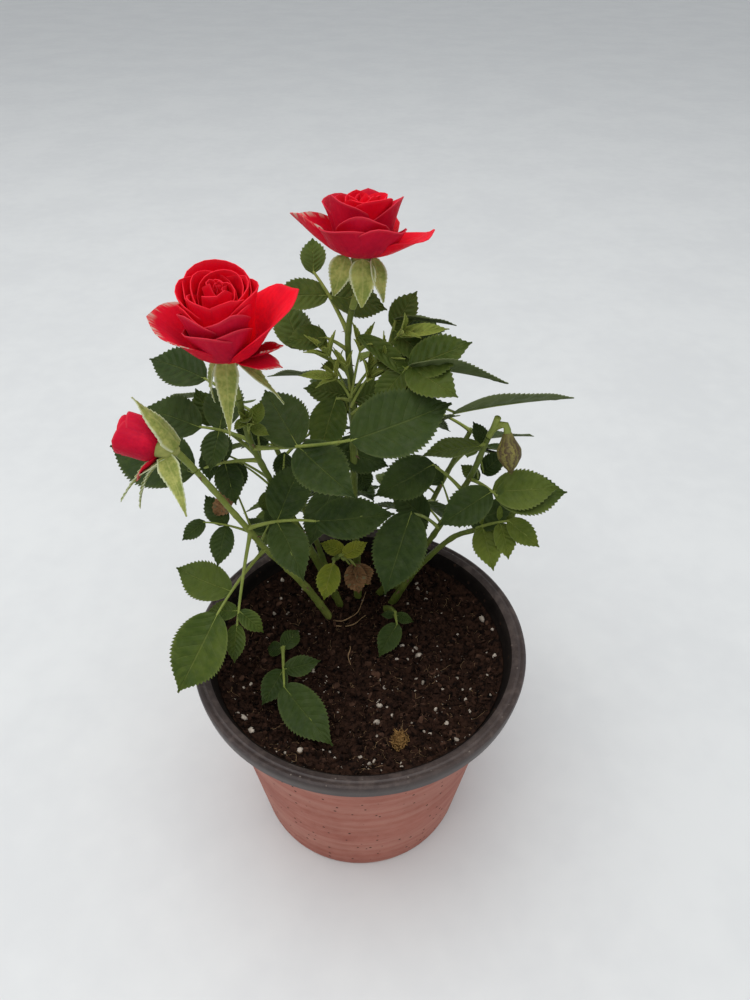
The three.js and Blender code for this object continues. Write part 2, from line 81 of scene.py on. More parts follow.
# %% Soft light
PANEL_SIDE, PANEL_POWER = 1.7, 17
PANEL_PLACE, PANEL_AIM = Vector((-0.25, -0.15, 1.5)), Vector((0, 0, 0.12))
SKY_COLOUR, SKY_STRENGTH = (0.93, 0.96, 1.0, 1), 0.56

panel_data = bpy.data.lights.new("sky panel", "AREA")
panel_data.size = PANEL_SIDE
panel_data.energy = PANEL_POWER
panel = bpy.data.objects.new("sky panel", panel_data)
panel.location = PANEL_PLACE
panel.rotation_euler = (PANEL_AIM - PANEL_PLACE).to_track_quat("-Z", "Y").to_euler()
bpy.context.scene.collection.objects.link(panel)

world = bpy.data.worlds.new("pale sky")
world.use_nodes = True
sky = world.node_tree.nodes["Background"].inputs
sky["Color"].default_value = SKY_COLOUR
sky["Strength"].default_value = SKY_STRENGTH
bpy.context.scene.world = world
bpy.context.scene.view_settings.view_transform = "Standard"
print("light:", PANEL_POWER, "W from a panel", PANEL_SIDE, "m wide, sky", SKY_STRENGTH)

# %% [markdown]
# A material is a small tree of nodes. Wiring them by hand takes four lines a node, so one helper makes a
# node, sets its options and fills its inputs, with either a number or another node's output.

# %% Helpers for shader nodes
def node(tree, kind, inputs=None, **options):
    made = tree.nodes.new(kind)
    for name, value in options.items():
        setattr(made, name, value)
    for name, value in (inputs or {}).items():
        if isinstance(value, bpy.types.NodeSocket):
            tree.links.new(value, made.inputs[name])
        else:
            made.inputs[name].default_value = value
    return made


def maths(tree, operation, *values, clamp=False):
    made = node(tree, "ShaderNodeMath", dict(enumerate(values)), operation=operation, use_clamp=clamp)
    return made.outputs[0]


def mix(tree, share, first, second):
    return node(tree, "ShaderNodeMix", {0: share, 6: first, 7: second}, data_type="RGBA").outputs[2]


def ramp(tree, value, low, high, to_low=0.0, to_high=1.0):
    made = node(tree, "ShaderNodeMapRange", {0: value, 1: low, 2: high, 3: to_low, 4: to_high},
                interpolation_type="SMOOTHSTEP")
    return made.outputs[0]


def group(name, inputs, outputs):
    tree = bpy.data.node_groups.new(name, "ShaderNodeTree")
    for label, kind, value in inputs:
        tree.interface.new_socket(name=label, in_out="INPUT", socket_type=kind).default_value = value
    for label, kind in outputs:
        tree.interface.new_socket(name=label, in_out="OUTPUT", socket_type=kind)
    return tree, tree.nodes.new("NodeGroupInput").outputs, tree.nodes.new("NodeGroupOutput").inputs


NUMBER, COLOUR, VECTOR = "NodeSocketFloat", "NodeSocketColor", "NodeSocketVector"
BLACK, WHITE = (0, 0, 0, 1), (1, 1, 1, 1)

# %% [markdown]
# No part of a plant is one flat colour. The first shared effect wanders between two colours in soft
# patches with a finer grain on top. Its grain output also drives bump, so that colour and surface agree.

# %% Group: mottled colour
mottle, enter, leave = group(
    "Mottled colour",
    [("Coordinates", VECTOR, (0, 0, 0)), ("Scale", NUMBER, 50), ("First", COLOUR, BLACK),
     ("Second", COLOUR, WHITE)],
    [("Colour", COLOUR), ("Grain", NUMBER)],
)
patches = node(mottle, "ShaderNodeTexNoise", {"Vector": enter["Coordinates"], "Scale": enter["Scale"],
                                              "Detail": 4, "Roughness": 0.6}).outputs[0]
fine_scale = maths(mottle, "MULTIPLY", enter["Scale"], 7.0)
grain = node(mottle, "ShaderNodeTexNoise", {"Vector": enter["Coordinates"], "Scale": fine_scale,
                                            "Detail": 3}).outputs[0]
both = maths(mottle, "ADD", maths(mottle, "MULTIPLY", patches, 0.7), maths(mottle, "MULTIPLY", grain, 0.3))
share = ramp(mottle, both, 0.36, 0.64)
mottle.links.new(mix(mottle, share, enter["First"], enter["Second"]), leave["Colour"])
mottle.links.new(both, leave["Grain"])

# %% [markdown]
# Leaflets and sepals carry a pale midrib with side veins that run forward to the teeth, and the blade
# swells a little between them. Drawing each vein as mesh would cost thousands of faces, so the larger
# swell is in the mesh and the fine net comes from a group that reads where on the blade a point lies.

# %% Group: leaf veins
veins, enter, leave = group(
    "Leaf veins",
    [("Across", NUMBER, 0), ("Along", NUMBER, 0), ("Side veins", NUMBER, 8), ("Width", NUMBER, 0.06)],
    [("Veins", NUMBER), ("Swell", NUMBER)],
)
aside = maths(veins, "ABSOLUTE", enter["Across"])
midrib = ramp(veins, aside, 0.0, enter["Width"], 1.0, 0.0)
phase = maths(veins, "SUBTRACT", maths(veins, "MULTIPLY", enter["Along"], enter["Side veins"]),
              maths(veins, "MULTIPLY", aside, 1.7))
between = maths(veins, "MULTIPLY", maths(veins, "PINGPONG", phase, 0.5), 2.0)
side_vein = ramp(veins, between, 0.0, 0.14, 0.30, 0.0)
toward_edge = ramp(veins, aside, 0.35, 1.0, 1.0, 0.15)
veins.links.new(maths(veins, "MAXIMUM", midrib, maths(veins, "MULTIPLY", side_vein, toward_edge)),
                leave["Veins"])
veins.links.new(maths(veins, "MULTIPLY", between, toward_edge), leave["Swell"])

# %% [markdown]
# A pot that has stood on a nursery bench is dusty: pale powder lies in patches on what faces up, and
# dark specks of mix cling anywhere. Pot and leaves share this group and differ only in how much they take.

# %% Group: dust and specks
dust, enter, leave = group(
    "Dust and specks",
    [("Colour", COLOUR, BLACK), ("Dust", COLOUR, WHITE), ("Specks", COLOUR, BLACK), ("Amount", NUMBER, 0.5),
     ("Speck size", NUMBER, 0.12), ("Scale", NUMBER, 200), ("Coordinates", VECTOR, (0, 0, 0))],
    [("Colour", COLOUR), ("Mask", NUMBER)],
)
facing = node(dust, "ShaderNodeSeparateXYZ", {0: node(dust, "ShaderNodeNewGeometry").outputs["Normal"]})
upward = ramp(dust, facing.outputs[2], -0.4, 0.9, 0.35, 1.0)
cloud = node(dust, "ShaderNodeTexNoise", {"Vector": enter["Coordinates"], "Scale": enter["Scale"],
                                          "Detail": 6, "Roughness": 0.7}).outputs[0]
powder = maths(dust, "MULTIPLY", maths(dust, "MULTIPLY", ramp(dust, cloud, 0.42, 0.72), upward),
               enter["Amount"])
spots = node(dust, "ShaderNodeTexVoronoi", {"Vector": enter["Coordinates"], "Scale": enter["Scale"]})
speck = ramp(dust, spots.outputs["Distance"], enter["Speck size"],
             maths(dust, "MULTIPLY", enter["Speck size"], 0.6), 0.0, 1.0)
dusted = mix(dust, powder, enter["Colour"], enter["Dust"])
dust.links.new(mix(dust, speck, dusted, enter["Specks"]), leave["Colour"])
dust.links.new(maths(dust, "MAXIMUM", powder, speck), leave["Mask"])
print("shared groups:", [tree.name for tree in bpy.data.node_groups])

# %% [markdown]
# Each material ends in one Principled shader. Numbers that are the same all over the surface, such as the
# sheen of a petal, are set on its own sockets. Colour, roughness and bump come from the groups.

# %% Helpers for materials
def material(name, **numbers):
    made = bpy.data.materials.new(name)
    made.use_nodes = True
    tree = made.node_tree
    shader = tree.nodes["Principled BSDF"]
    for socket, value in numbers.items():
        shader.inputs[socket.replace("_", " ")].default_value = value
    return made, tree, shader


def place_on_piece(tree):
    """Where a point lies on its own blade, petal or tube: across, along, and a shade for each blade."""
    place = node(tree, "ShaderNodeAttribute", attribute_name="place")
    return node(tree, "ShaderNodeSeparateXYZ", {0: place.outputs["Vector"]}).outputs


def object_place(tree):
    return node(tree, "ShaderNodeTexCoord").outputs["Object"]


def use_group(tree, made, **values):
    placed = tree.nodes.new("ShaderNodeGroup")
    placed.node_tree = made
    for name, value in values.items():
        socket = placed.inputs[name.replace("_", " ")]
        if isinstance(value, bpy.types.NodeSocket):
            tree.links.new(value, socket)
        else:
            socket.default_value = value
    return placed.outputs


def finish(tree, shader, colour, height, distance, roughness=None, strength=0.6):
    tree.links.new(colour, shader.inputs["Base Color"])
    bump = node(tree, "ShaderNodeBump", {"Height": height, "Distance": distance, "Strength": strength})
    tree.links.new(bump.outputs[0], shader.inputs["Normal"])
    if roughness is not None:
        tree.links.new(roughness, shader.inputs["Roughness"])


# %% [markdown]
# Curves carry the whole plant. The source lays each cane through a few points with a centripetal
# Catmull-Rom curve, and measures places on it by length. The same curve is written again here, so that
# a leaf grows from exactly the spot where its CAD twin does.

# %% Curves measured by length
class Curve:
    def __init__(self, at, divisions=200):
        self.at = at
        points = np.array([at(i / divisions) for i in range(divisions + 1)])
        steps = np.linalg.norm(np.diff(points, axis=0), axis=1)
        self.reached = np.concatenate([[0], np.cumsum(steps)])
        self.length = self.reached[-1]

    def share(self, fraction):
        return float(np.interp(fraction * self.length, self.reached, np.linspace(0, 1, len(self.reached))))

    def point(self, fraction):
        return Vector(self.at(self.share(fraction)))

    def slope(self, share):
        low, high = max(0.0, share - 1e-3), min(1.0, share + 1e-3)
        return Vector(self.at(high) - self.at(low)).normalized()

    def tangent(self, fraction):
        return self.slope(self.share(fraction))

    def fraction_at(self, height):
        low, high = 0.0, 1.0
        for _ in range(24):
            middle = (low + high) / 2
            low, high = (middle, high) if self.point(middle).z < height else (low, middle)
        return (low + high) / 2


def through(*points):
    knots = [np.array(point, float) for point in points]
    knots = [2 * knots[0] - knots[1], *knots, 2 * knots[-1] - knots[-2]]

    def at(share):
        spot = share * (len(knots) - 3)
        first = min(int(spot), len(knots) - 4)
        weight = spot - first
        before, start, end, after = knots[first:first + 4]
        gap_before, gap, gap_after = (np.linalg.norm(b - a) ** 0.5
                                      for a, b in ((before, start), (start, end), (end, after)))
        leaving = ((start - before) / gap_before - (end - before) / (gap_before + gap)
                   + (end - start) / gap) * gap
        arriving = ((end - start) / gap - (after - start) / (gap + gap_after)
                    + (after - end) / gap_after) * gap
        return (start + leaving * weight + (3 * (end - start) - 2 * leaving - arriving) * weight ** 2
                + (2 * (start - end) + leaving + arriving) * weight ** 3)

    return Curve(at)


def bowed(root, bend, tip):
    a, b, c = (np.array(p, float) for p in (root, bend, tip))
    return Curve(lambda t: (1 - t) ** 2 * a + 2 * t * (1 - t) * b + t ** 2 * c, 40)


GOLDEN_ANGLE = 137.5


def heading(azimuth, rise):
    azimuth, rise = math.radians(azimuth), math.radians(rise)
    return Vector((math.cos(rise) * math.cos(azimuth), math.cos(rise) * math.sin(azimuth), math.sin(rise)))


# %% [markdown]
# A plant is never regular, yet the scene has to come out the same each time. Random numbers therefore
# come from a generator with a fixed seed. This one gives the same numbers as the source's.

# %% Repeatable random numbers
WORD = 0xFFFFFFFF


def random_from(seed):
    state = [seed]

    def draw():
        state[0] = (state[0] + 0x6D2B79F5) & WORD
        t = state[0]
        t = ((t ^ (t >> 15)) * (t | 1)) & WORD
        t ^= (t + ((t ^ (t >> 7)) * (t | 61) & WORD)) & WORD
        return (t ^ (t >> 14)) / 2 ** 32

    return draw


# %% The canes and boughs of the source
canes = {
    "left": through((-15, 25, 88), (-26, 15, 122), (-38, 8, 147), (-44, 0, 168), (-54, -10, 198),
                    (-58, -15, 210)),
    "rose": through((-10, 32, 88), (-22, 22, 135), (-34, 12, 179), (-38, 5, 201), (-39, -2, 224),
                    (-40, -3, 232)),
    "centre": through((-2, 38, 88), (-3, 30, 150), (-3, 22, 207), (-4, 20, 235), (1, 16, 256.5)),
    "right": through((8, 40, 88), (27, 25, 133), (41, 12, 181), (47, 8, 205), (50, 6.5, 207),
                     (51, 6, 203.5)),
    "right_low": through((14, 34, 88), (24, 26, 118), (38, 18, 145), (45, 14, 152)),
    "front": through((-34, 7, 88), (-34, 3, 92.5), (-33.4, 0.4, 95)),
    "front_low": through((11, 30, 88), (13.5, 24.5, 94), (15.1, 20.3, 96)),
    "back": through((-2, 44, 88), (-4, 55, 140), (6, 62, 205)),
    "back_left": through((-14, 42, 88), (-26, 50, 130), (-42, 52, 180)),
    "back_right": through((16, 42, 88), (30, 53, 130), (46, 56, 172)),
}
boughs = {
    "upper_right": through((-0.1, 23, 192), (3.5, 20, 201), (7, 17, 211), (10, 19, 231)),
    "low": through((-3.9, 31, 125.6), (-8, 24.5, 128.5), (-11.5, 18.2, 131)),
}
print("canes:", {name: round(curve.length) for name, curve in canes.items()}, "mm long")

# %% [markdown]
# Every piece is collected as points and faces in millimetres and turned into one object at the end. Each
# point also gets its place on its blade, petal or tube, which the materials read as an attribute. Two
# patterns of faces serve most shapes: rings joined into a tube, and a sheet with a skin on either side.

# %% A piece under construction
class Piece:
    def __init__(self):
        self.points, self.places, self.faces, self.finishes = [], [], [], []
        self.count = 0

    def add(self, points, faces, finishes=0, places=None):
        points = np.asarray(points, float).reshape(-1, 3)
        places = np.zeros_like(points) if places is None else np.asarray(places, float).reshape(-1, 3)
        self.points.append(points)
        self.places.append(places)
        self.faces.extend(tuple(int(i) + self.count for i in face) for face in faces)
        self.finishes.extend([finishes] * len(faces) if isinstance(finishes, int) else finishes)
        self.count += len(points)

    def make(self, name, materials, slot, replaced, sharp=40):
        mesh = bpy.data.meshes.new(name)
        mesh.from_pydata(np.concatenate(self.points) * MM, [], self.faces)
        for made in materials:
            mesh.materials.append(made)
        mesh.polygons.foreach_set("material_index", np.array(self.finishes, np.int32))
        place = mesh.attributes.new("place", "FLOAT_VECTOR", "POINT")
        place.data.foreach_set("vector", np.concatenate(self.places).astype(np.float32).ravel())
        mesh.shade_smooth()
        mesh.set_sharp_from_angle(angle=math.radians(sharp))
        made = bpy.data.objects.new(name, mesh)
        bpy.context.scene.collection.objects.link(made)
        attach(made, "root")
        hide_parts(*replaced)
        print(name, "faces:", len(self.faces))
        return made


# %% Two patterns of faces
def ring_faces(rings, sides):
    """Joins rings of points into a tube and closes both ends."""
    faces = [(r * sides + i, r * sides + (i + 1) % sides, (r + 1) * sides + (i + 1) % sides,
              (r + 1) * sides + i) for r in range(rings - 1) for i in range(sides)]
    return [*faces, tuple(range(sides - 1, -1, -1)), tuple(range((rings - 1) * sides, rings * sides))]


def sheet_faces(rows, wide, flipped=False):
    """Joins rows of points into an upper skin, a lower skin and the rim between them."""
    below, last, end = rows * wide, wide - 1, (rows - 1) * wide
    upper = [(r * wide + c, r * wide + c + 1, (r + 1) * wide + c + 1, (r + 1) * wide + c)
             for r in range(rows - 1) for c in range(last)]
    rim = []
    for a in range(0, end, wide):
        b = a + wide
        rim += [(a, b, b + below, a + below), (a + last, a + last + below, b + last + below, b + last)]
    for c in range(last):
        rim += [(c, c + below, c + 1 + below, c + 1),
                (end + c, end + c + 1, end + c + 1 + below, end + c + below)]
    if flipped:
        upper, rim = ([(face[0], *face[:0:-1]) for face in skin] for skin in (upper, rim))
    lower = [tuple(below + i for i in reversed(face)) for face in upper]
    return upper, lower, rim


# %% [markdown]
# The floor is only a stage for the plant: a wide pale sheet with a faint grain, so that the shadow reads.

# %% Floor
FLOOR_SIDE = 12.0

floor_finish, tree, shader = material("pale floor", Roughness=0.55)
colours = use_group(tree, mottle, Coordinates=object_place(tree), Scale=9.0,
                    First=(0.73, 0.74, 0.735, 1), Second=(0.77, 0.78, 0.77, 1))
finish(tree, shader, colours["Colour"], colours["Grain"], 0.0002, strength=0.2)
floor_mesh = bpy.data.meshes.new("floor")
floor_mesh.from_pydata([(x * FLOOR_SIDE / 2, y * FLOOR_SIDE / 2, 0)
                        for x, y in ((-1, -1), (1, -1), (1, 1), (-1, 1))], [], [(0, 1, 2, 3)])
floor_mesh.materials.append(floor_finish)
floor = bpy.data.objects.new("floor", floor_mesh)
bpy.context.scene.collection.objects.link(floor)

# %% [markdown]
# The pot is one thin moulding: a tapered wall, a flared neck and a lip that turns down as a short skirt.
# A profile turned about the axis gives it exactly, with the same radii as the CAD but round corners and
# many more sides. The holes in its floor are cut by a boolean and the result is kept as plain mesh.

# %% Pot: profile and turning
POT_HEIGHT, RIM_RADIUS, LIP_WIDTH, LIP_THICKNESS = 104, 69.5, 6, 1.6
SKIRT_DROP, SKIRT_THICKNESS, SKIRT_DRAFT = 7, 1.3, 0.7
NECK_RADIUS, NECK_DROP, BASE_RADIUS, WALL, BASE_THICKNESS = 59.9, 16, 48, 1.2, 1.8
POT_SIDES = 144
FLOOR_FLAT = 20
OUTSIDE, LIP, INSIDE = 0, 1, 2

neck = POT_HEIGHT - NECK_DROP


def inside_radius(height):
    heights = (BASE_THICKNESS, neck, POT_HEIGHT)
    return float(np.interp(height, heights, (BASE_RADIUS - WALL, NECK_RADIUS - WALL, RIM_RADIUS - LIP_WIDTH)))


under_lip = POT_HEIGHT - LIP_THICKNESS
skirt = POT_HEIGHT - SKIRT_DROP
outer_foot = RIM_RADIUS - SKIRT_DRAFT
profile = [
    (0, 0, OUTSIDE), (FLOOR_FLAT, 0, OUTSIDE), (BASE_RADIUS - 3, 0, OUTSIDE),
    (BASE_RADIUS - 1.2, 0.3, OUTSIDE), (BASE_RADIUS - 0.2, 1.4, OUTSIDE),
    *[(BASE_RADIUS + (NECK_RADIUS - BASE_RADIUS) * s, 1.5 + (neck - 2.5) * s, OUTSIDE)
      for s in np.linspace(0.02, 1, 14)],
    (NECK_RADIUS + 0.4, neck + 1.2, OUTSIDE), (RIM_RADIUS - LIP_WIDTH + WALL / 2, under_lip - 0.3, LIP),
    (RIM_RADIUS - SKIRT_THICKNESS - 0.6, under_lip, LIP),
    (RIM_RADIUS - SKIRT_THICKNESS, under_lip - 0.7, LIP),
    (outer_foot - SKIRT_THICKNESS, skirt + 0.3, LIP), (outer_foot - SKIRT_THICKNESS / 2, skirt, LIP),
    (outer_foot, skirt + 0.4, LIP), (RIM_RADIUS - 0.25, skirt + 3.2, LIP),
    (RIM_RADIUS, POT_HEIGHT - 1.5, LIP), (RIM_RADIUS - 0.3, POT_HEIGHT - 0.5, LIP),
    (RIM_RADIUS - 1.1, POT_HEIGHT, LIP), (RIM_RADIUS - 1.9, POT_HEIGHT - 0.1, LIP),
    (RIM_RADIUS - 2.3, POT_HEIGHT - 0.45, LIP), (RIM_RADIUS - 2.8, POT_HEIGHT - 0.5, LIP),
    (RIM_RADIUS - 3.3, POT_HEIGHT - 0.3, LIP), (RIM_RADIUS - 4.6, POT_HEIGHT - 0.7, LIP),
    (RIM_RADIUS - LIP_WIDTH + 0.2, POT_HEIGHT - 1.4, LIP),
    *[(inside_radius(z), z, INSIDE) for z in np.linspace(POT_HEIGHT - 2.4, neck + 0.6, 7)],
    (inside_radius(neck) - 0.1, neck - 0.6, INSIDE),
    *[(inside_radius(z), z, INSIDE) for z in np.linspace(neck - 2, BASE_THICKNESS + 0.8, 8)],
    (inside_radius(BASE_THICKNESS) - 1.5, BASE_THICKNESS, INSIDE),
    (FLOOR_FLAT, BASE_THICKNESS, INSIDE), (0, BASE_THICKNESS, INSIDE),
]


def turn(piece, rows, sides):
    """Turns rows of radius, height and finish about the axis. A radius of 0 becomes a single point."""
    points, rings = [], []
    for radius, height, _ in rows:
        angles = [0.0] if radius == 0 else np.linspace(0, 2 * math.pi, sides, endpoint=False)
        rings.append(range(len(points), len(points) + len(angles)))
        points += [(radius * math.cos(a), radius * math.sin(a), height) for a in angles]
    faces, finishes = [], []
    for lower, upper, row in zip(rings, rings[1:], rows[1:]):
        for i in range(sides):
            corners = [lower[i % len(lower)], lower[(i + 1) % len(lower)],
                       upper[(i + 1) % len(upper)], upper[i % len(upper)]]
            faces.append(tuple(dict.fromkeys(corners)))
            finishes.append(row[2])
    piece.add(points, faces, finishes)
    return piece


# %% Pot: materials
PEAT_SPECKS, DUST_SPECKS = (0.035, 0.02, 0.014, 1), (0.20, 0.165, 0.14, 1)


def pot_material(name, first, second, dust_colour, dustiness, speck_size, banding, roughness, gloss,
                 specks=PEAT_SPECKS):
    made, tree, shader = material(name, Specular_IOR_Level=gloss)
    place = object_place(tree)
    colours = use_group(tree, mottle, Coordinates=place, Scale=26.0, First=first, Second=second)
    stretched = node(tree, "ShaderNodeMapping", {"Vector": place, "Scale": (14, 14, 240)}).outputs[0]
    bands = node(tree, "ShaderNodeTexNoise", {"Vector": stretched, "Scale": 1.0, "Detail": 3}).outputs[0]
    banded = mix(tree, ramp(tree, bands, 0.35, 0.7, 0.0, banding), colours["Colour"], dust_colour)
    dusty = use_group(tree, dust, Colour=banded, Dust=dust_colour, Specks=specks,
                      Amount=dustiness, Speck_size=speck_size, Scale=230.0, Coordinates=place)
    height = maths(tree, "ADD", maths(tree, "MULTIPLY", bands, 0.5),
                   maths(tree, "ADD", maths(tree, "MULTIPLY", colours["Grain"], 0.5), dusty["Mask"]))
    finish(tree, shader, dusty["Colour"], height, 0.00025,
           ramp(tree, dusty["Mask"], 0.0, 1.0, roughness, 0.95))
    return made


pot_outside = pot_material(
    "terracotta plastic", (0.315, 0.080, 0.050, 1), (0.400, 0.128, 0.088, 1), (0.52, 0.265, 0.200, 1),
    dustiness=0.46, speck_size=0.16, banding=0.42, roughness=0.6, gloss=0.25)
pot_lip = pot_material(
    "dark plastic lip", (0.032, 0.021, 0.019, 1), (0.050, 0.036, 0.033, 1), (0.18, 0.135, 0.115, 1),
    dustiness=0.34, speck_size=0.09, banding=0.12, roughness=0.42, gloss=0.35, specks=DUST_SPECKS)
# The inside is the lip's dark plastic painted much darker still: painted shade inside the pot.
pot_inside_painted_shade = pot_material(
    "dark plastic inside with painted shade", (0.006, 0.0045, 0.004, 1), (0.012, 0.009, 0.008, 1), (0.06, 0.045, 0.035, 1),
    dustiness=0.15, speck_size=0.2, banding=0.1, roughness=0.7, gloss=0.06)
POT_FINISHES = [pot_outside, pot_lip, pot_inside_painted_shade]
print("pot finishes:", [made.name for made in POT_FINISHES])

# %% Pot: holes in its floor
DRAIN_HOLES, DRAIN_RADIUS, DRAIN_CIRCLE = 6, 4, 36
DRILL_SIDES, DRILL_PLAY, SHARP_CORNER = 24, 3, 35

pot = turn(Piece(), profile, POT_SIDES).make("pot_shell", POT_FINISHES, "pot", ["pot"])
drills = Piece()
for i in range(DRAIN_HOLES):
    centre = heading(i * 360 / DRAIN_HOLES, 0) * DRAIN_CIRCLE
    ring = [(centre.x + DRAIN_RADIUS * math.cos(a), centre.y + DRAIN_RADIUS * math.sin(a))
            for a in np.linspace(0, 2 * math.pi, DRILL_SIDES, endpoint=False)]
    points = [(x, y, z) for z in (-DRILL_PLAY, BASE_THICKNESS + DRILL_PLAY) for x, y in ring]
    drills.add(points, ring_faces(2, DRILL_SIDES))
drill_mesh = bpy.data.meshes.new("drills")
drill_mesh.from_pydata(np.concatenate(drills.points) * MM, [], drills.faces)
drill = bpy.data.objects.new("drills", drill_mesh)
bpy.context.scene.collection.objects.link(drill)
cut = pot.modifiers.new("holes", "BOOLEAN")
cut.operation, cut.object, cut.solver = "DIFFERENCE", drill, "EXACT"
pierced = bpy.data.meshes.new_from_object(pot.evaluated_get(bpy.context.evaluated_depsgraph_get()))
pot.modifiers.clear()
pot.data = pierced
bpy.data.objects.remove(drill)
pierced.shade_smooth()
pierced.set_sharp_from_angle(angle=math.radians(SHARP_CORNER))
print("pot faces after the cut:", len(pierced.polygons))

# %% [markdown]
# Potting mix is peat, bark fines, pale perlite, root fibres and here a tuft of coir. Its top could be a
# bumpy disc with a busy texture, but from close by the crumbs throw real shadows. So the disc has relief
# in the mesh, and thousands of small lumps, grains and fibres lie on it. They and the disc share one
# rule for the height of the top, so that nothing floats or drowns.

# %% Potting mix: the height of its top
MIX_LEVEL = 86
DISH_SHARES, DISH_HEIGHTS = [0, 0.4, 0.74, 0.8, 0.9, 1], [MIX_LEVEL, MIX_LEVEL, 87.2, 88.6, 92, 96]
MOUND_WIDTH, MOUND_RISE = 8, 2.2
CLOD_SIZE, CLOD_RELIEF, CRUMB_SIZE, CRUMB_RELIEF = 5.5, 1.6, 1.1, 0.7
SOIL_REACH = inside_radius(DISH_HEIGHTS[-1]) - 0.25
feet = [curve.point(0) for curve in canes.values()]


def soil_height(x, y):
    far = math.hypot(x, y) / SOIL_REACH
    rise = (1 + 0.8 * math.sin(x / 7 + 1) * math.cos(y / 9)) * min(1.0, max(0.0, 0.76 - far) * 12)
    height = float(np.interp(far, DISH_SHARES, DISH_HEIGHTS)) + rise
    for foot in feet:
        near = max(0.0, 1 - math.hypot(x - foot.x, y - foot.y) / MOUND_WIDTH)
        height = max(height, MIX_LEVEL + MOUND_RISE * near * near * (3 - 2 * near))
    spot = Vector((x, y, 0))
    clods = noise.fractal(spot / CLOD_SIZE, 0.9, 2.1, 3) * CLOD_RELIEF
    crumbs = noise.noise(spot / CRUMB_SIZE) * CRUMB_RELIEF
    return height + (clods + crumbs) * min(1.0, 0.25 + (1 - far) * 8)


# %% Potting mix: the filled body
SOIL_RINGS, SOIL_SIDES, SOIL_PLAY = 62, 216, 0.3

angles = np.linspace(0, 2 * math.pi, SOIL_SIDES, endpoint=False)
rows = []
foot_height = BASE_THICKNESS + SOIL_PLAY
for radius, height in [(FLOOR_FLAT, foot_height), (inside_radius(foot_height) - SOIL_PLAY, foot_height),
                       (inside_radius(neck) - SOIL_PLAY, neck)]:
    rows.append([(radius * math.cos(a), radius * math.sin(a), height) for a in angles])
for radius in SOIL_REACH * np.linspace(1, 0.012, SOIL_RINGS):
    rows.append([(x, y, soil_height(x, y)) for x, y in zip(radius * np.cos(angles), radius * np.sin(angles))])
soil = Piece()
soil.add([point for row in rows for point in row], ring_faces(len(rows), SOIL_SIDES))
print("rings in the mix:", len(rows), "reaching", round(SOIL_REACH, 1), "mm")

# %% Potting mix: materials
SMOOTH = 180
MIX = ("potting_mix", ["potting_mix"])


def crumb_material(name, first, second, scale, roughness, lighten=0.5):
    made, tree, shader = material(name, Roughness=roughness, Specular_IOR_Level=0.1)
    place = place_on_piece(tree)
    colours = use_group(tree, mottle, Coordinates=object_place(tree), Scale=scale, First=first, Second=second)
    seldom = maths(tree, "POWER", place[2], 2.5)
    paler = mix(tree, maths(tree, "MULTIPLY", seldom, lighten), colours["Colour"], second)
    finish(tree, shader, paler, colours["Grain"], 0.0005, strength=0.8)
    return made


# The near-black end of the peat's mottle is painted shade in the gaps between crumbs; its lighter end is the
# peat's own colour.
peat = crumb_material("damp peat with painted shade", (0.0014, 0.0008, 0.0007, 1), (0.038, 0.0175, 0.0105, 1),
                      420.0, 0.95, 0.8)
bark_fines = crumb_material("bark fines", (0.012, 0.0060, 0.0040, 1), (0.085, 0.042, 0.026, 1),
                            300.0, 0.9, 0.7)
perlite = crumb_material("perlite", (0.20, 0.165, 0.13, 1), (0.56, 0.485, 0.40, 1), 420.0, 0.75, 0.8)
fibre = crumb_material("root fibre", (0.085, 0.046, 0.022, 1), (0.36, 0.23, 0.12, 1), 300.0, 0.8)
coir = crumb_material("coir fibre", (0.13, 0.062, 0.020, 1), (0.50, 0.29, 0.10, 1), 300.0, 0.85)
soil.make("potting_mix_body", [peat], *MIX, sharp=SMOOTH)

# %% Potting mix: lumps and grains
def ball(rings):
    """The points and faces of a small round lump, for each to be squashed in its own way."""
    shape = bmesh.new()
    bmesh.ops.create_icosphere(shape, subdivisions=rings, radius=1)
    points = np.array([v.co for v in shape.verts])
    faces = [tuple(v.index for v in f.verts) for f in shape.faces]
    shape.free()
    return points, faces


def scatter(piece, shape, count, sizes, seed, rough=0.25, flatness=(0.45, 0.9), sink=0.2, spots=None):
    draw = np.random.default_rng(seed)
    base, faces = shape
    for i in range(count):
        size = sizes[0] + (sizes[1] - sizes[0]) * draw.random() ** 2.2
        if spots is None:
            reach, turned = (SOIL_REACH - size - 0.4) * math.sqrt(draw.random()), 2 * math.pi * draw.random()
            x, y = reach * math.cos(turned), reach * math.sin(turned)
        else:
            x, y = spots[i]
        stretch = np.array([1, draw.uniform(0.55, 1), draw.uniform(*flatness)])
        points = base * (1 + rough * draw.uniform(-1, 1, (len(base), 1))) * stretch * size
        tilt = Quaternion(Vector(draw.normal(size=3)).normalized(), draw.uniform(0, math.pi))
        points = points @ np.array(tilt.to_matrix()).T + (x, y, soil_height(x, y) + size * sink)
        piece.add(points, faces, 0, np.tile((0, 0, draw.random()), (len(points), 1)))
    return piece


lumps = scatter(Piece(), ball(1), count=7600, sizes=(0.28, 1.8), seed=3, rough=0.46)
lumps.make("peat_crumbs", [peat], *MIX, sharp=40)
chips = scatter(Piece(), ball(1), count=620, sizes=(0.4, 2.3), seed=5, rough=0.3, flatness=(0.15, 0.4))
chips.make("bark_fines", [bark_fines], *MIX, sharp=30)

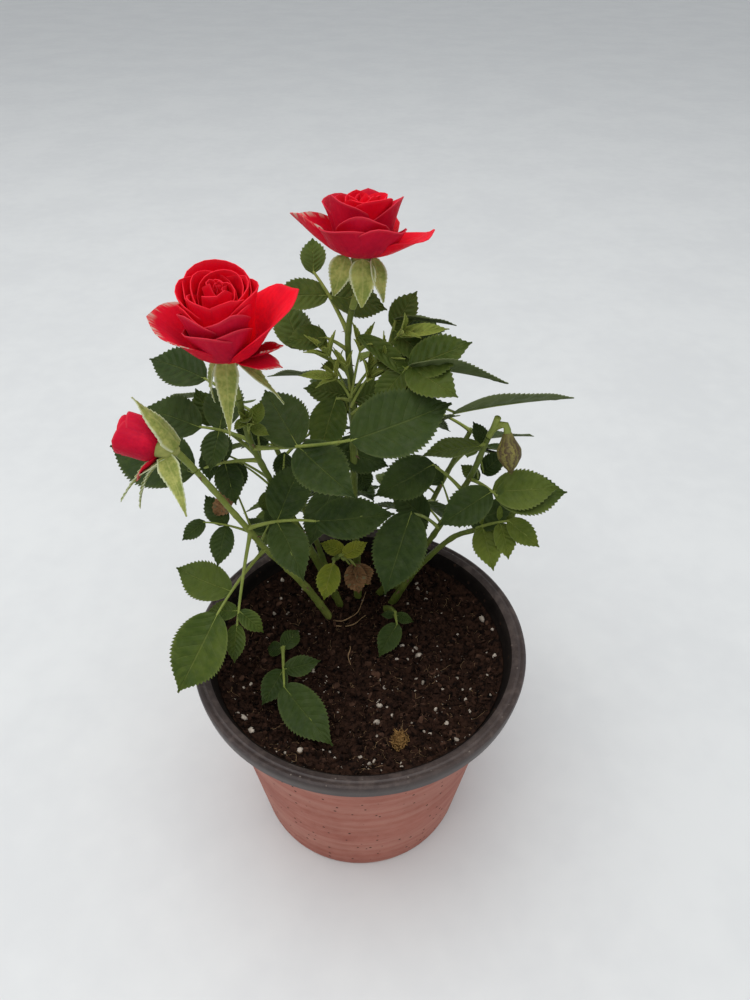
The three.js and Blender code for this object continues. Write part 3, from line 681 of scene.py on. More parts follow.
# %% Potting mix: perlite
SEEN_PERLITE = [
    (-14.2, -8), (24.5, 7.8), (25.7, 3.9), (41.5, -8.6), (-45.5, -33.7), (-24.5, -33.1), (-31.8, -20.2),
    (7.3, -30.7), (8.5, -22.4), (6.3, -49.5), (26.6, 42), (30.2, 35.8), (-38, 42), (-40.6, 26.2),
    (54.3, 18.6), (31.9, 22.3), (21.5, -32), (38.3, -43), (53.7, -22.2), (57.5, -1.8), (-45.8, -14.2),
    (-22.2, -10.2), (-41.7, -40), (-22.3, -46.7), (-14.1, -44.2), (0.8, -47.1), (44.1, -20.7),
    (34.8, 1.1), (14.9, -14.8),
]
grains = scatter(Piece(), ball(2), len(SEEN_PERLITE), sizes=(1.0, 2.1), seed=8, rough=0.18,
                 flatness=(0.45, 0.75), sink=0.15, spots=SEEN_PERLITE)
scatter(grains, ball(2), count=330, sizes=(0.2, 1.2), seed=7, rough=0.22, flatness=(0.45, 0.8), sink=0.0)
grains.make("perlite_grains", [perlite], *MIX, sharp=60)

# %% [markdown]
# Canes, stalks, rootlets and fibres are all tubes along a line. A tube could be a bevelled curve object,
# but mesh rings let the radius swell at a node and carry the ridges of bark.

# %% A tube along a line
def tube(piece, line, radii, sides, finish=0, shade=0.5, relief=None):
    line = np.asarray(line, float)
    slopes = np.gradient(line, axis=0)
    slopes /= np.linalg.norm(slopes, axis=1, keepdims=True)
    side = np.cross(slopes[0], (0.31, 0.92, 0.24))
    rings = []
    angles = np.linspace(0, 2 * math.pi, sides, endpoint=False)
    for i, (centre, slope) in enumerate(zip(line, slopes)):
        side = side - slope * (side @ slope)
        side /= np.linalg.norm(side)
        front = np.cross(slope, side)
        radius = radii[i] * (1 if relief is None else relief[i])
        rings.append(centre + np.outer(np.cos(angles) * radius, side)
                     + np.outer(np.sin(angles) * radius, front))
    count = len(line)
    places = [(i / sides, r / (count - 1), shade) for r in range(count) for i in range(sides)]
    piece.add(np.concatenate(rings), ring_faces(count, sides), finish, places)


# %% Potting mix: loose fibres
FIBRE_COUNT, FIBRE_STEPS, FIBRE_LIFT = 480, 6, 0.35


def loose_fibre(piece, start, length, radius, draw):
    turned, points = draw.uniform(0, 2 * math.pi), [np.array(start, float)]
    for _ in range(FIBRE_STEPS):
        turned += draw.normal() * 0.55
        x, y = points[-1][:2] + np.array([math.cos(turned), math.sin(turned)]) * length / FIBRE_STEPS
        if math.hypot(x, y) > SOIL_REACH - 1.5:
            turned += math.pi
            x, y = points[-1][:2]
            x, y = x * 0.97, y * 0.97
        points.append(np.array([x, y, soil_height(x, y) + radius + FIBRE_LIFT * draw.random()]))
    tube(piece, points, np.linspace(radius, radius * 0.6, FIBRE_STEPS + 1), 4, shade=draw.random())


draw = np.random.default_rng(11)
fibres = Piece()
for _ in range(FIBRE_COUNT):
    reach, turned = SOIL_REACH * 0.96 * math.sqrt(draw.random()), 2 * math.pi * draw.random()
    x, y = reach * math.cos(turned), reach * math.sin(turned)
    loose_fibre(fibres, (x, y, soil_height(x, y) + 0.3), draw.uniform(2, 9), draw.uniform(0.05, 0.12), draw)

# %% Potting mix: rootlets
ROOTLET_POINTS, ROOTLET_RADII = 24, (0.32, 0.16)
ROOTLETS = [
    [(-13, 22.5, 0.4), (-9, 21.8, 1.5), (-5.4, 23.4, 2.6), (-2, 27, 2.8), (0, 33, 2.2), (1.7, 40, 0.6)],
    [(-12, 20, 0.3), (-7, 19, 0.9), (-3, 20.5, 1.3), (0, 25, 1.6), (4, 28, 0.5)],
    [(-5, 9, 0.4), (-4.6, 5, 1.2), (-5.4, 1, 1.4), (-4, -3, 0.5)],
]
for line in ROOTLETS:
    rootlet = through(*[(x, y, soil_height(x, y) + above) for x, y, above in line])
    tube(fibres, [rootlet.point(s) for s in np.linspace(0, 1, ROOTLET_POINTS)],
         np.linspace(*ROOTLET_RADII, ROOTLET_POINTS), 6, shade=0.9)
fibres.make("root_fibres", [fibre], *MIX, sharp=SMOOTH)

# %% Potting mix: the tuft of coir
TUFT, TUFT_RAISED, TUFT_STRANDS, STRAND_RADII = (16.5, -40.5), 2.0, 460, [0.09, 0.13, 0.08]
heart = Vector((*TUFT, soil_height(*TUFT) + TUFT_RAISED))
tuft = Piece()
for _ in range(TUFT_STRANDS):
    aside = Vector(draw.normal(size=3)).normalized()
    aside.x *= 0.85
    middle = heart + aside * draw.uniform(0.8, 4.3)
    along = Vector(draw.normal(size=3)).normalized() * draw.uniform(0.8, 1.8)
    bend = Vector(draw.normal(size=3)) * 0.35
    tube(tuft, [middle - along, middle + bend, middle + along], STRAND_RADII, 3,
         shade=0.15 + 0.7 * draw.random())
tuft.make("coir_tuft", [coir], *MIX, sharp=SMOOTH)

# %% [markdown]
# A rose cane is smooth and olive green, with a faint ridge below each bud, a ring where a leaf left, and
# a few hooked prickles. Bark relief is a small change of the tube's radius, and each prickle is a curved
# cone sunk in the skin. The limb runs from the mix to the first leaves, as its CAD solid does.

# %% Canes: materials
def cane_material(name, first, second, blush):
    made, tree, shader = material(name, Roughness=0.5, Specular_IOR_Level=0.25)
    place = place_on_piece(tree)
    coordinates = object_place(tree)
    colours = use_group(tree, mottle, Coordinates=coordinates, Scale=90.0, First=first, Second=second)
    stretched = node(tree, "ShaderNodeMapping", {"Vector": coordinates, "Scale": (900, 900, 90)}).outputs[0]
    lines = node(tree, "ShaderNodeTexNoise", {"Vector": stretched, "Scale": 1.0, "Detail": 3}).outputs[0]
    tinted = mix(tree, ramp(tree, lines, 0.5, 0.8, 0.0, 0.4), colours["Colour"], blush)
    shaded = mix(tree, maths(tree, "MULTIPLY", place[2], 0.35), tinted, second)
    height = maths(tree, "ADD", maths(tree, "MULTIPLY", lines, 0.7), colours["Grain"])
    finish(tree, shader, shaded, height, 0.0002, ramp(tree, lines, 0.3, 0.8, 0.42, 0.62))
    return made


green_cane = cane_material("green cane", (0.080, 0.112, 0.016, 1), (0.150, 0.190, 0.034, 1),
                           (0.13, 0.075, 0.022, 1))
young_stalk = cane_material("young stalk", (0.160, 0.208, 0.035, 1), (0.270, 0.318, 0.066, 1),
                            (0.18, 0.13, 0.04, 1))
prickle_finish = cane_material("prickle", (0.10, 0.045, 0.028, 1), (0.22, 0.13, 0.07, 1),
                               (0.05, 0.02, 0.015, 1))
print("cane finishes:", [made.name for made in (green_cane, young_stalk, prickle_finish)])

# %% Canes: a length of shoot with nodes and prickles
NODE_EVERY, NODE_WIDTH, RING_EVERY = 17, 1.3, 1.6
RIDGES, BARK_NOISE = 0.05, 0.02
PRICKLE_RADII = (0.62, 0.36, 0.17)
PRICKLE_LENGTH = 2.6


def shoot(piece, curve, start, end, radii, sides, seed, knobs=0.16, finish=0):
    draw = np.random.default_rng(seed)
    count = max(4, int(curve.length * (end - start) / RING_EVERY))
    shares = np.linspace(start, end, count)
    line = [np.array(curve.point(share)) for share in shares]
    along = shares * curve.length
    offset = draw.uniform(0, NODE_EVERY)
    swell = 1 + knobs * np.exp(-(((along + offset) % NODE_EVERY - NODE_EVERY / 2) / NODE_WIDTH) ** 2)
    angles = np.linspace(0, 2 * math.pi, sides, endpoint=False)
    relief = np.array([[swell[i] * (1 + RIDGES * math.sin(3 * a + along[i] / 9)
                                    + BARK_NOISE * draw.normal()) for a in angles] for i in range(count)])
    tube(piece, line, np.linspace(*radii, count), sides, finish, draw.random(), relief)


def prickles(piece, curve, start, end, radius, count, length, seed, finish=1):
    draw = np.random.default_rng(seed)
    for i in range(count):
        share = start + (end - start) * (i + draw.uniform(0.2, 0.8)) / count
        slope, centre = curve.tangent(share), curve.point(share)
        out = Quaternion(slope, draw.uniform(0, 2 * math.pi)) @ slope.orthogonal().normalized()
        size = length * draw.uniform(0.7, 1.15)
        foot = centre + out * radius * 0.6
        line = [np.array(foot + out * size * s - slope * size * 0.35 * s * s) for s in (0, 0.3, 0.65, 1)]
        radii = [share * size / PRICKLE_LENGTH for share in PRICKLE_RADII]
        tube(piece, line, [*radii, 0.03], 6, finish, 0.5)


# %% Canes: the limbs up to their leaves
CANE_RADIUS, TWIG_RADIUS = 1.8, 1.15
PALE = ("cane_left", "left_low")
LIMBS = {
    "cane_left": (canes["left"], 132), "cane_rose": (canes["rose"], 158),
    "cane_centre": (canes["centre"], 187), "cane_right": (canes["right"], 128),
    "cane_right_low": (canes["right_low"], 116), "cane_front": (canes["front"], 91.5),
    "cane_front_low": (canes["front_low"], 92), "cane_back": (canes["back"], 112),
    "cane_back_left": (canes["back_left"], 108), "cane_back_right": (canes["back_right"], 108),
    "bough_upper_right": (boughs["upper_right"], 207), "bough_low": (boughs["low"], 127),
}
for order, (limb, (curve, top)) in enumerate(LIMBS.items()):
    end = curve.fraction_at(top)
    cane_radii, bough_radii = (CANE_RADIUS, TWIG_RADIUS * 1.2), (TWIG_RADIUS, TWIG_RADIUS * 0.9)
    radii = cane_radii if limb.startswith("cane") else bough_radii
    bark = Piece()
    shoot(bark, curve, 0, end, radii, 14, 40 + order)
    hooks = max(1, round(curve.length * end / 18))
    prickles(bark, curve, 0.05, end, radii[1], hooks, PRICKLE_LENGTH, 70 + order)
    skin = young_stalk if limb in PALE else green_cane
    bark.make("bark_" + limb, [skin, prickle_finish], "cane", [limb], sharp=60)

# %% [markdown]
# A rose leaf is compound: a stalk with one leaflet at its end and one or two pairs at its sides. The rows
# below are the source's own, with the rule that turns a row into leaflets, so that every blade here lies
# in its solid. Where the source left a leaflet out for want of room, its solid is missing there, and the
# blade is left out here too. A row holds the height of its root on the limb, the stalk's azimuth, rise
# and reach, the azimuth, rise and size of the leaflet at its end, and the stance of the whole leaf.

# %% Leaves: the rows of the source
SUNNY, SHADED = heading(-90, 54), heading(90, 60)
PAIR = (0.52, 66, 66, 0.86, 0.86)
ALONE = {"pairs": []}
EDGE_ON = {"turn": -74, "pairs": []}
MASSES = {
    "left_low": (canes["left"], 132, 0.905, SUNNY, [
        (146, -119, -14, 33, -131, -45, 35, {"pairs": [(0.7, 84, 60, 0.76, 0)]}),
        (159, -103, -52, 36, -95, -45, 15, {"pairs": [(0.86, 80, 60, 0.85, 0.85)]}),
        (159, -175, 20, 18, -144, -22, 11, {"pairs": [(0.5, 66, 66, 1.4, 1.5)]}),
        (162, -19, 23, 31, 5, 6, 29, {"pairs": [(0.45, 66, 66, 0.85, 0.95)]}),
    ]),
    "left_high": (canes["rose"], 158, 0.925, SUNNY, [
        (200, 177, 16, 18, 160, 9, 24, {"pairs": [(0.6, 76, 95, 0.95, 0.6)]}),
        (189, 169, -20, 29, 161, 8, 38, {"pairs": [(0.5, 60, 110, 0.42, 0.45)]}),
        (218, 139, 10, 18, 156, 8, 24, ALONE),
        (196, -28, 23, 44, 17, 16, 35, {"bow": -0.04, "pairs": [(0.47, 45, 113, 0.8, 0.82)]}),
        (204, -60, 50, 12, 60, 50, 8, {}),
    ]),
    "upper_left": (canes["centre"], 187, 0.915, SUNNY, [
        (206, 180, 10, 6, -112, -45, 23, ALONE),
        (218, 169, 25, 19, 116, 37, 20, ALONE),
        (218, -150, 20, 5, 148, 34, 17, ALONE),
        (234, 136, 45, 23, 94, 40, 14, {"pairs": [(0.55, 114, 66, 1.5, 1.4)]}),
        (227, 175, 30, 9, 178, -5, 15, ALONE),
        (214, 170, 62, 14, 160, 55, 9, {}),
    ]),
    "upper_right": (boughs["upper_right"], 207, 1, SUNNY, [
        (211, -20, 0, 27, 10, 8, 42, EDGE_ON),
        (212, -43, 52, 21, -3, -3, 33,
         {"turn": -70, "pairs": [(0.95, 30, 8, 0.66, 0.66), (0.85, 140, 140, 0.5, 0.5)]}),
        (229, 56, 68, 10, 1, 0, 21, {"turn": -60, "pairs": [(0.6, 85, 12, 0.8, 0.7)]}),
        (216, 10, 60, 12, 30, 65, 9, {}),
    ]),
    "right": (canes["right"], 128, 0.9, SUNNY, [
        (197, -139, 3, 3, -175, -4, 22, {"turn": 40, "pairs": []}),
        (172, 180, 45, 17, -156, -16, 25, ALONE),
        (147, -130, 46, 28, -116, -47, 33, {"pairs": [(0.4, 66, 66, 0.6, 0)]}),
        (179, -48, 1, 14, 5, 3, 27, {"pairs": [(0.8, 120, 25, 0.8, 0.85)]}),
        (196, 108, 10, 4, 129, 54, 9, ALONE),
    ]),
    "right_low": (canes["right_low"], 116, 1, SUNNY, [
        (150, -16, 32, 18, -34, -21, 16, {"pairs": [(0.78, 66, 66, 0.9, 0.7), (0.35, 72, 66, 1.1, 0.7)]}),
    ]),
    "low": (boughs["low"], 127, 1, SUNNY, [
        (130.6, -109, -20, 3, -109, -43, 16, ALONE),
        (130, 10, 20, 3, 24, 18, 12, ALONE),
        (129.4, -40, -25, 3, -62, -40, 13, ALONE),
    ]),
    "front": (canes["front"], 91.5, 1, SUNNY, [
        (94.8, -82, 12, 25, -49, -9, 31,
         {"pairs": [(0.62, 50, 80, 0.55, 0.5), (0.04, 135, 125, 0.36, 0.45)]}),
    ]),
    "front_low": (canes["front_low"], 92, 1, SUNNY, [
        (95.9, -84, 7, 8, -119, -17, 17, {"pairs": [(0.2, 80, 75, 0.4, 0.5)]}),
    ]),
}
for name, (start, count) in {"back": (112, 5), "back_left": (108, 4), "back_right": (108, 4)}.items():
    draw = random_from(start + count)
    top = canes[name].point(1).z
    rows = []
    for i in range(count):
        azimuth = 110 + i * GOLDEN_ANGLE
        size = 22 + 8 * draw()
        rows.append((start + 8 + (top - start - 9) * i / (count - 1), azimuth, 15 + 20 * draw(),
                     18 + 8 * draw(), azimuth, -25 * draw(), size, {}))
    MASSES[name] = (canes[name], start, 1, SHADED, rows)

# %% Leaves: one row becomes a stalk and its leaflets
def compound_leaf(stem, row, light, draw):
    height, azimuth, rise, reach, end_azimuth, end_rise, size, stance = row
    root = stem.point(stem.fraction_at(height))
    tip = root + heading(azimuth, rise) * reach
    bend = (root + tip) / 2 + Vector((0, 0, stance.get("bow", 0.12) * reach))
    stalk = bowed(root, bend, tip)
    aim = heading(end_azimuth, end_rise)
    face = Quaternion(aim, math.radians(stance.get("turn", 0))) @ light
    leaflets = [(tip - aim * 0.8, aim, face, size, 0.08)]
    for place, right_angle, left_angle, right_share, left_share in stance.get("pairs", [PAIR]):
        foot = Vector(stalk.at(place))
        along = stalk.slope(place).lerp(aim, 0.35).normalized()
        side = along.cross(light).normalized()
        over = side.cross(along)
        for angle, share in ((right_angle, right_share), (-left_angle, left_share)):
            spread = math.radians(angle + 12 * (draw() - 0.5))
            lift = 0.3 * (draw() - 0.6)
            out = (along * math.cos(spread) + side * math.sin(spread) + over * lift).normalized()
            leaflets.append((foot, out, light, size * share * (0.94 + 0.12 * draw()), 0.1))
    return stalk, [leaflet for leaflet in leaflets if leaflet[3] > 0]


# %% [markdown]
# A leaflet is an oval blade with a drawn-out tip and sharp teeth that point forward. A flat card with a
# cut-out picture would be cheaper, but the teeth show against the pale floor, so the outline is real: two
# rows of points to each tooth, the outer ones pushed out and forward. The blade folds along its midrib,
# droops to its tip, waves at its edge and swells between the side veins. Its underside is a second skin.

# %% Leaves: the toothed blade
LEAF_SLENDER = 0.63
SLIMMER = {"front": 0.9, "front_low": 0.88, "left_low": 0.92}
HALFWAY = 0.55
COLUMNS = np.array([-1, -HALFWAY, 0, HALFWAY, 1.0])
TOOTH_EVERY, FEWEST_TEETH, MOST_TEETH = 1.4, 10, 26


def leaf_half(along):
    along = np.clip(along, 0, 1)
    return 0.48 * np.sin(math.pi * along ** 0.82) ** (0.62 + 0.75 * along ** 2)


def blade(piece, leaflet, shade, draw, finish, slender, half=leaf_half, teeth=None, fold=0.18,
          swell=0.010, wave=0.014, tooth=0.044, thickness=0.22, keel=0.3):
    foot, aim, face, size, curl = leaflet
    side = np.array(aim.cross(face).normalized())
    aim = np.array(aim)
    over = np.cross(side, aim)
    teeth = teeth or max(FEWEST_TEETH, min(MOST_TEETH, round(size / TOOTH_EVERY)))
    rows = 2 * teeth + 1
    along = np.repeat(np.linspace(0, 1, rows)[:, None], len(COLUMNS), 1)
    across = np.repeat(COLUMNS[None, :], rows, 0)
    width = np.maximum(half(along) * slender * size, 0.012 * size)
    tips = (np.arange(rows) % 2 == 1)[:, None] & (np.abs(across) == 1)
    room = np.sin(math.pi * along) ** 0.4
    width = width * (1 + np.where(tips, tooth * 1.6, -tooth * 0.4) * room * (np.abs(across) == 1))
    forward = np.where(tips, 1.0 / rows, 0) * room
    sideways = across * width
    bend, turned = draw.normal() * 0.03, draw.normal() * 0.08
    phase = draw.uniform(0, 2 * math.pi)
    lift = fold * np.abs(sideways) - curl * size * along ** 2 - abs(bend) * size * along ** 3
    lift += turned * sideways * along
    lift += wave * size * np.sin(9 * along + phase + np.sign(across)) * across ** 2 * room
    between_veins = np.cos(2 * math.pi * (along * 7 - np.abs(across)))
    lift += swell * size * between_veins * (np.abs(across) == HALFWAY) * room
    sway = 0.02 * size * np.sin(math.pi * along) * math.sin(phase)
    top = (np.array(foot) + (sideways + sway)[..., None] * side + ((along + forward) * size)[..., None] * aim
           + lift[..., None] * over)
    deep = thickness + keel * (across == 0) * (1 - along)
    low = top - deep[..., None] * over
    places = np.stack([across, along, np.full_like(along, shade)], -1)
    upper, lower, rim = sheet_faces(rows, len(COLUMNS))
    piece.add(np.concatenate([top.reshape(-1, 3), low.reshape(-1, 3)]), upper + lower + rim,
              [finish[0]] * len(upper) + [finish[1]] * (len(lower) + len(rim)),
              np.concatenate([places.reshape(-1, 3)] * 2))


# %% Leaves: materials
LEAF_DUST, LEAF_SPECKS, SIDE_VEINS = (0.30, 0.31, 0.22, 1), (0.05, 0.035, 0.02, 1), 8.0


def leaf_material(name, first, second, vein, roughness=0.5, dusty=0.05, midrib_width=0.055):
    made, tree, shader = material(name, Specular_IOR_Level=0.12)
    across, along, shade = place_on_piece(tree)[:3]
    place = object_place(tree)
    colours = use_group(tree, mottle, Coordinates=place, Scale=70.0, First=first, Second=second)
    drawn = use_group(tree, veins, Across=across, Along=along, Side_veins=SIDE_VEINS, Width=midrib_width)
    shaded = mix(tree, maths(tree, "MULTIPLY", shade, 0.55), colours["Colour"], second)
    edge = ramp(tree, maths(tree, "ABSOLUTE", across), 0.86, 1.0, 0.0, 0.35)
    pale = maths(tree, "MAXIMUM", maths(tree, "MULTIPLY", drawn["Veins"], 0.5), edge)
    veined = mix(tree, pale, shaded, vein)
    powdered = use_group(tree, dust, Colour=veined, Dust=LEAF_DUST, Specks=LEAF_SPECKS,
                         Amount=dusty, Speck_size=0.04, Scale=260.0, Coordinates=place)
    swollen = maths(tree, "ADD", drawn["Swell"], maths(tree, "MULTIPLY", colours["Grain"], 0.4))
    height = maths(tree, "SUBTRACT", swollen, drawn["Veins"])
    finish(tree, shader, powdered["Colour"], height, 0.0006,
           ramp(tree, colours["Grain"], 0.35, 0.65, roughness, roughness + 0.16))
    return made


LEAF_TINTS = {
    "dark": ((0.018, 0.036, 0.006, 1), (0.040, 0.064, 0.012, 1), (0.095, 0.125, 0.030, 1)),
    "mid": ((0.036, 0.064, 0.008, 1), (0.078, 0.108, 0.016, 1), (0.165, 0.195, 0.045, 1)),
    "olive": ((0.056, 0.088, 0.010, 1), (0.105, 0.138, 0.022, 1), (0.195, 0.225, 0.056, 1)),
    "young": ((0.078, 0.118, 0.012, 1), (0.140, 0.175, 0.024, 1), (0.230, 0.260, 0.060, 1)),
    "fresh": ((0.165, 0.215, 0.030, 1), (0.290, 0.340, 0.065, 1), (0.410, 0.440, 0.135, 1)),
    "yellow": ((0.115, 0.165, 0.014, 1), (0.260, 0.270, 0.026, 1), (0.340, 0.340, 0.080, 1)),
    "brown": ((0.125, 0.060, 0.022, 1), (0.300, 0.160, 0.070, 1), (0.360, 0.210, 0.100, 1)),
}
leaf_finishes = {tint: leaf_material("leaf " + tint, *colours) for tint, colours in LEAF_TINTS.items()}
leaf_under = leaf_material("leaf underside", (0.075, 0.105, 0.034, 1), (0.125, 0.155, 0.060, 1),
                           (0.200, 0.225, 0.100, 1), roughness=0.65, dusty=0.0, midrib_width=0.12)
leaf_under_old = leaf_material("old underside", (0.150, 0.130, 0.062, 1), (0.230, 0.200, 0.105, 1),
                               (0.280, 0.255, 0.145, 1), roughness=0.7, dusty=0.0, midrib_width=0.12)
BLADE_FINISHES = [*leaf_finishes.values(), leaf_under, leaf_under_old]
TINT_ORDER = list(LEAF_TINTS)
UNDER, OLD_UNDER = len(TINT_ORDER), len(TINT_ORDER) + 1
print("leaf finishes:", [made.name for made in BLADE_FINISHES])

# %% [markdown]
# Colours are dealt out by spray, as on a real bush: old leaves are dark and bluish, newer ones lighter
# and more olive, and the lowest, starved of light, go yellow and brown. Where one leaf has leaflets of
# several ages, its entry names a tint for each, from the tip down.

# %% Leaves: the tint of each row
TINTS = {
    "left_low": ["mid", "mid", "dark", "dark"],
    "left_high": ["dark", "dark", "dark", "dark", "young"],
    "upper_left": ["mid", "mid", "mid", "mid", "mid", "young"],
    "upper_right": ["dark", "mid", "mid", "young"],
    "right": ["olive", "dark", "dark", ("mid", "dark", "olive"), "mid"],
    "right_low": ["young"],
    "low": ["yellow", "yellow", "brown"],
    "front": ["dark"],
    "front_low": ["dark"],
    "back": ["dark", "dark", "mid", "dark", "young"],
    "back_left": ["dark", "mid", "dark", "mid"],
    "back_right": ["mid", "dark", "dark", "mid"],
}

# %% [markdown]
# The solids stop at the leaves that shape the bush. Between them a real one carries smaller leaves on
# finer twigs, and they are what hides most of its stems. Each row here is like a row of the source with
# the tint of its blades at the end. They could be strewn at random, but then they would also close the
# gaps through which the pale floor shows in the photograph.

# %% Leaves: the finer twigs inside each mass
BROAD = {"pairs": [(0.6, 70, 70, 0.8, 0.8)]}
FINER = {
    "left_high": [
        (190, 155, 29, 20, 138, 52, 15, ALONE, "mid"), (191, 148, 24, 20, 50, 49, 12, ALONE, "mid"),
        (188, 98, 61, 14, -55, -78, 12, BROAD, "dark"), (170, 165, 37, 19, -94, -63, 13, ALONE, "dark"),
        (178, 170, 26, 24, -101, -61, 13, ALONE, "dark"), (158, 163, 44, 11, -113, -73, 11, ALONE, "mid"),
        (165, 86, 52, 18, -129, -80, 15, ALONE, "dark"), (210, -70, 40, 6, -80, 30, 7, BROAD, "young"),
    ],
    "left_low": [
        (156, 147, 72, 21, -158, -47, 15, ALONE, "brown"), (150, 60, 40, 8, 70, 30, 11, BROAD, "dark"),
    ],
    "upper_left": [
        (190, 152, 78, 17, 173, 7, 16, ALONE, "mid"), (188, 34, 88, 17, 8, 21, 16, BROAD, "mid"),
        (188, 156, -36, 10, 5, -25, 25, ALONE, "dark"), (188, 72, -69, 22, 0, -76, 13, ALONE, "dark"),
    ],
    "low": [
        (128.6, -15, -47, 7, -70, -55, 14, ALONE, "brown"),
        (128.4, -25, -40, 8, -20, -50, 12, ALONE, "brown"),
        (130.2, 40, 10, 4, 160, 10, 12, ALONE, "yellow"), (129, -5, -60, 15, -30, -20, 6, ALONE, "yellow"),
    ],
    "right": [
        (195, 73, -16, 5, 142, 50, 10, ALONE, "dark"), (190, 52, -64, 10, -17, 57, 13, ALONE, "dark"),
        (186, 67, -61, 11, 150, 30, 9, ALONE, "mid"), (176, 50, -75, 23, -13, 35, 20, ALONE, "dark"),
        (160, 134, 61, 12, 160, 26, 13, ALONE, "dark"), (150, 146, 36, 12, 167, 31, 11, ALONE, "dark"),
    ],
    "upper_right": [
        (211, 50, 55, 25, 8, -3, 14, ALONE, "dark"), (209, 43, 55, 21, -20, -58, 11, ALONE, "mid"),
    ],
    "back": [
        (150, 200, 30, 12, 200, 10, 14, BROAD, "dark"), (175, -20, 30, 12, -20, 10, 13, BROAD, "mid"),
    ],
    "back_left": [
        (140, 10, 35, 12, 10, 10, 14, BROAD, "dark"), (165, 215, 30, 12, 215, 5, 13, BROAD, "mid"),
    ],
    "back_right": [
        (138, 170, 35, 12, 170, 10, 14, BROAD, "dark"), (160, -35, 30, 12, -35, 5, 13, BROAD, "mid"),
    ],
}
print("finer twigs:", sum(len(rows) for rows in FINER.values()))

# %% [markdown]
# Near the top the bush is making new wood: thin pale stalks, each with a fan of leaflets that have not
# opened yet. A fan needs no pairs. Its leaflets leave one point, spread round the stalk's own direction.

# %% Leaves: young shoots
SHOOTS = [
    ((-3.6, 21.5, 207), (-10.5, 19, 226), 6, (8, 13), 36),
    ((-3.7, 20, 209), (-8, 17, 218), 4, (7, 11), 34),
    ((-3.7, 20, 212), (-4.6, 17, 222), 4, (6, 9), 30),
    ((-3.4, 20, 205), (2.5, 16, 219), 5, (9, 14), 32),
    ((-3.2, 20, 202), (6, 15, 212), 5, (10, 16), 30),
    ((-3.4, 20, 209), (0, 17, 229), 4, (7, 11), 28),
    ((-2.6, 20, 211), (6, 16, 226), 4, (8, 12), 34),
    ((10, 19, 229), (13, 15, 236), 4, (8, 13), 30),
    ((-38, 4, 203), (-37, 0, 211), 4, (6, 9), 34),
]
LANCES = [((-0.5, 15, 235.6), (13.9, 9, 227.3), 24, "mid"), ((7, 15, 214), (24, 12, 219), 20, "fresh"),
          ((12, 15, 236), (28, 14, 240), 17, "fresh"), ((-9, 17, 219), (-24, 14, 222), 12, "fresh")]
SHOOT_RINGS, SHOOT_RADII = 8, (0.6, 0.35)
FRESH = TINT_ORDER.index("fresh")


def young_shoots(wood, blades, draw):
    for root, tip, count, sizes, spread in SHOOTS:
        root, tip = Vector(root), Vector(tip)
        stalk = bowed(root, (root + tip) / 2 + Vector((0, 0, 1.5)), tip)
        tube(wood, [stalk.at(t) for t in np.linspace(0, 1, SHOOT_RINGS)],
             np.linspace(*SHOOT_RADII, SHOOT_RINGS), 6, 1, draw.random())
        along = stalk.slope(1)
        for i in range(count):
            lean = Quaternion(along, 2 * math.pi * (i + draw.uniform(-0.2, 0.2)) / count) @ along.orthogonal()
            turned = math.radians(spread * draw.uniform(0.5, 1.3))
            aim = (along * math.cos(turned) + lean.normalized() * math.sin(turned)).normalized()
            size = draw.uniform(*sizes)
            blade(blades, (tip, aim, along.cross(aim).cross(aim) * -1, size, draw.uniform(-0.1, 0.25)),
                  draw.random(), draw, (FRESH, FRESH), slender=0.24, fold=0.6, teeth=8, tooth=0.03)
    for foot, tip, size, tint in LANCES:
        foot, tip = Vector(foot), Vector(tip)
        blade(blades, (foot, (tip - foot).normalized(), SUNNY, size, 0.12), draw.random(), draw,
              (TINT_ORDER.index(tint), UNDER), slender=0.3, fold=0.45, tooth=0.015)


# %% [markdown]
# Now each mass grows: its twig, then row by row a stalk, the rib of each leaflet and its blade. A leaflet
# of the source is laid only where the CAD mass has a face close by. A brown one is dry, so it crumples.

# %% Leaves: growing each mass
CLOSE = 1.6
STALK_SWELL = np.concatenate([[1.5, 1.15], np.linspace(1, 0.6, 10)])
FRESH_EDGE, DRY_EDGE = {"wave": 0.016}, {"wave": 0.12, "swell": 0.05, "fold": 0.5}


def solid_near(node_name):
    mesh = nodes[node_name].data
    corners = [v.co / MM for v in mesh.vertices]
    return BVHTree.FromPolygons(corners, [tuple(p.vertices) for p in mesh.polygons])


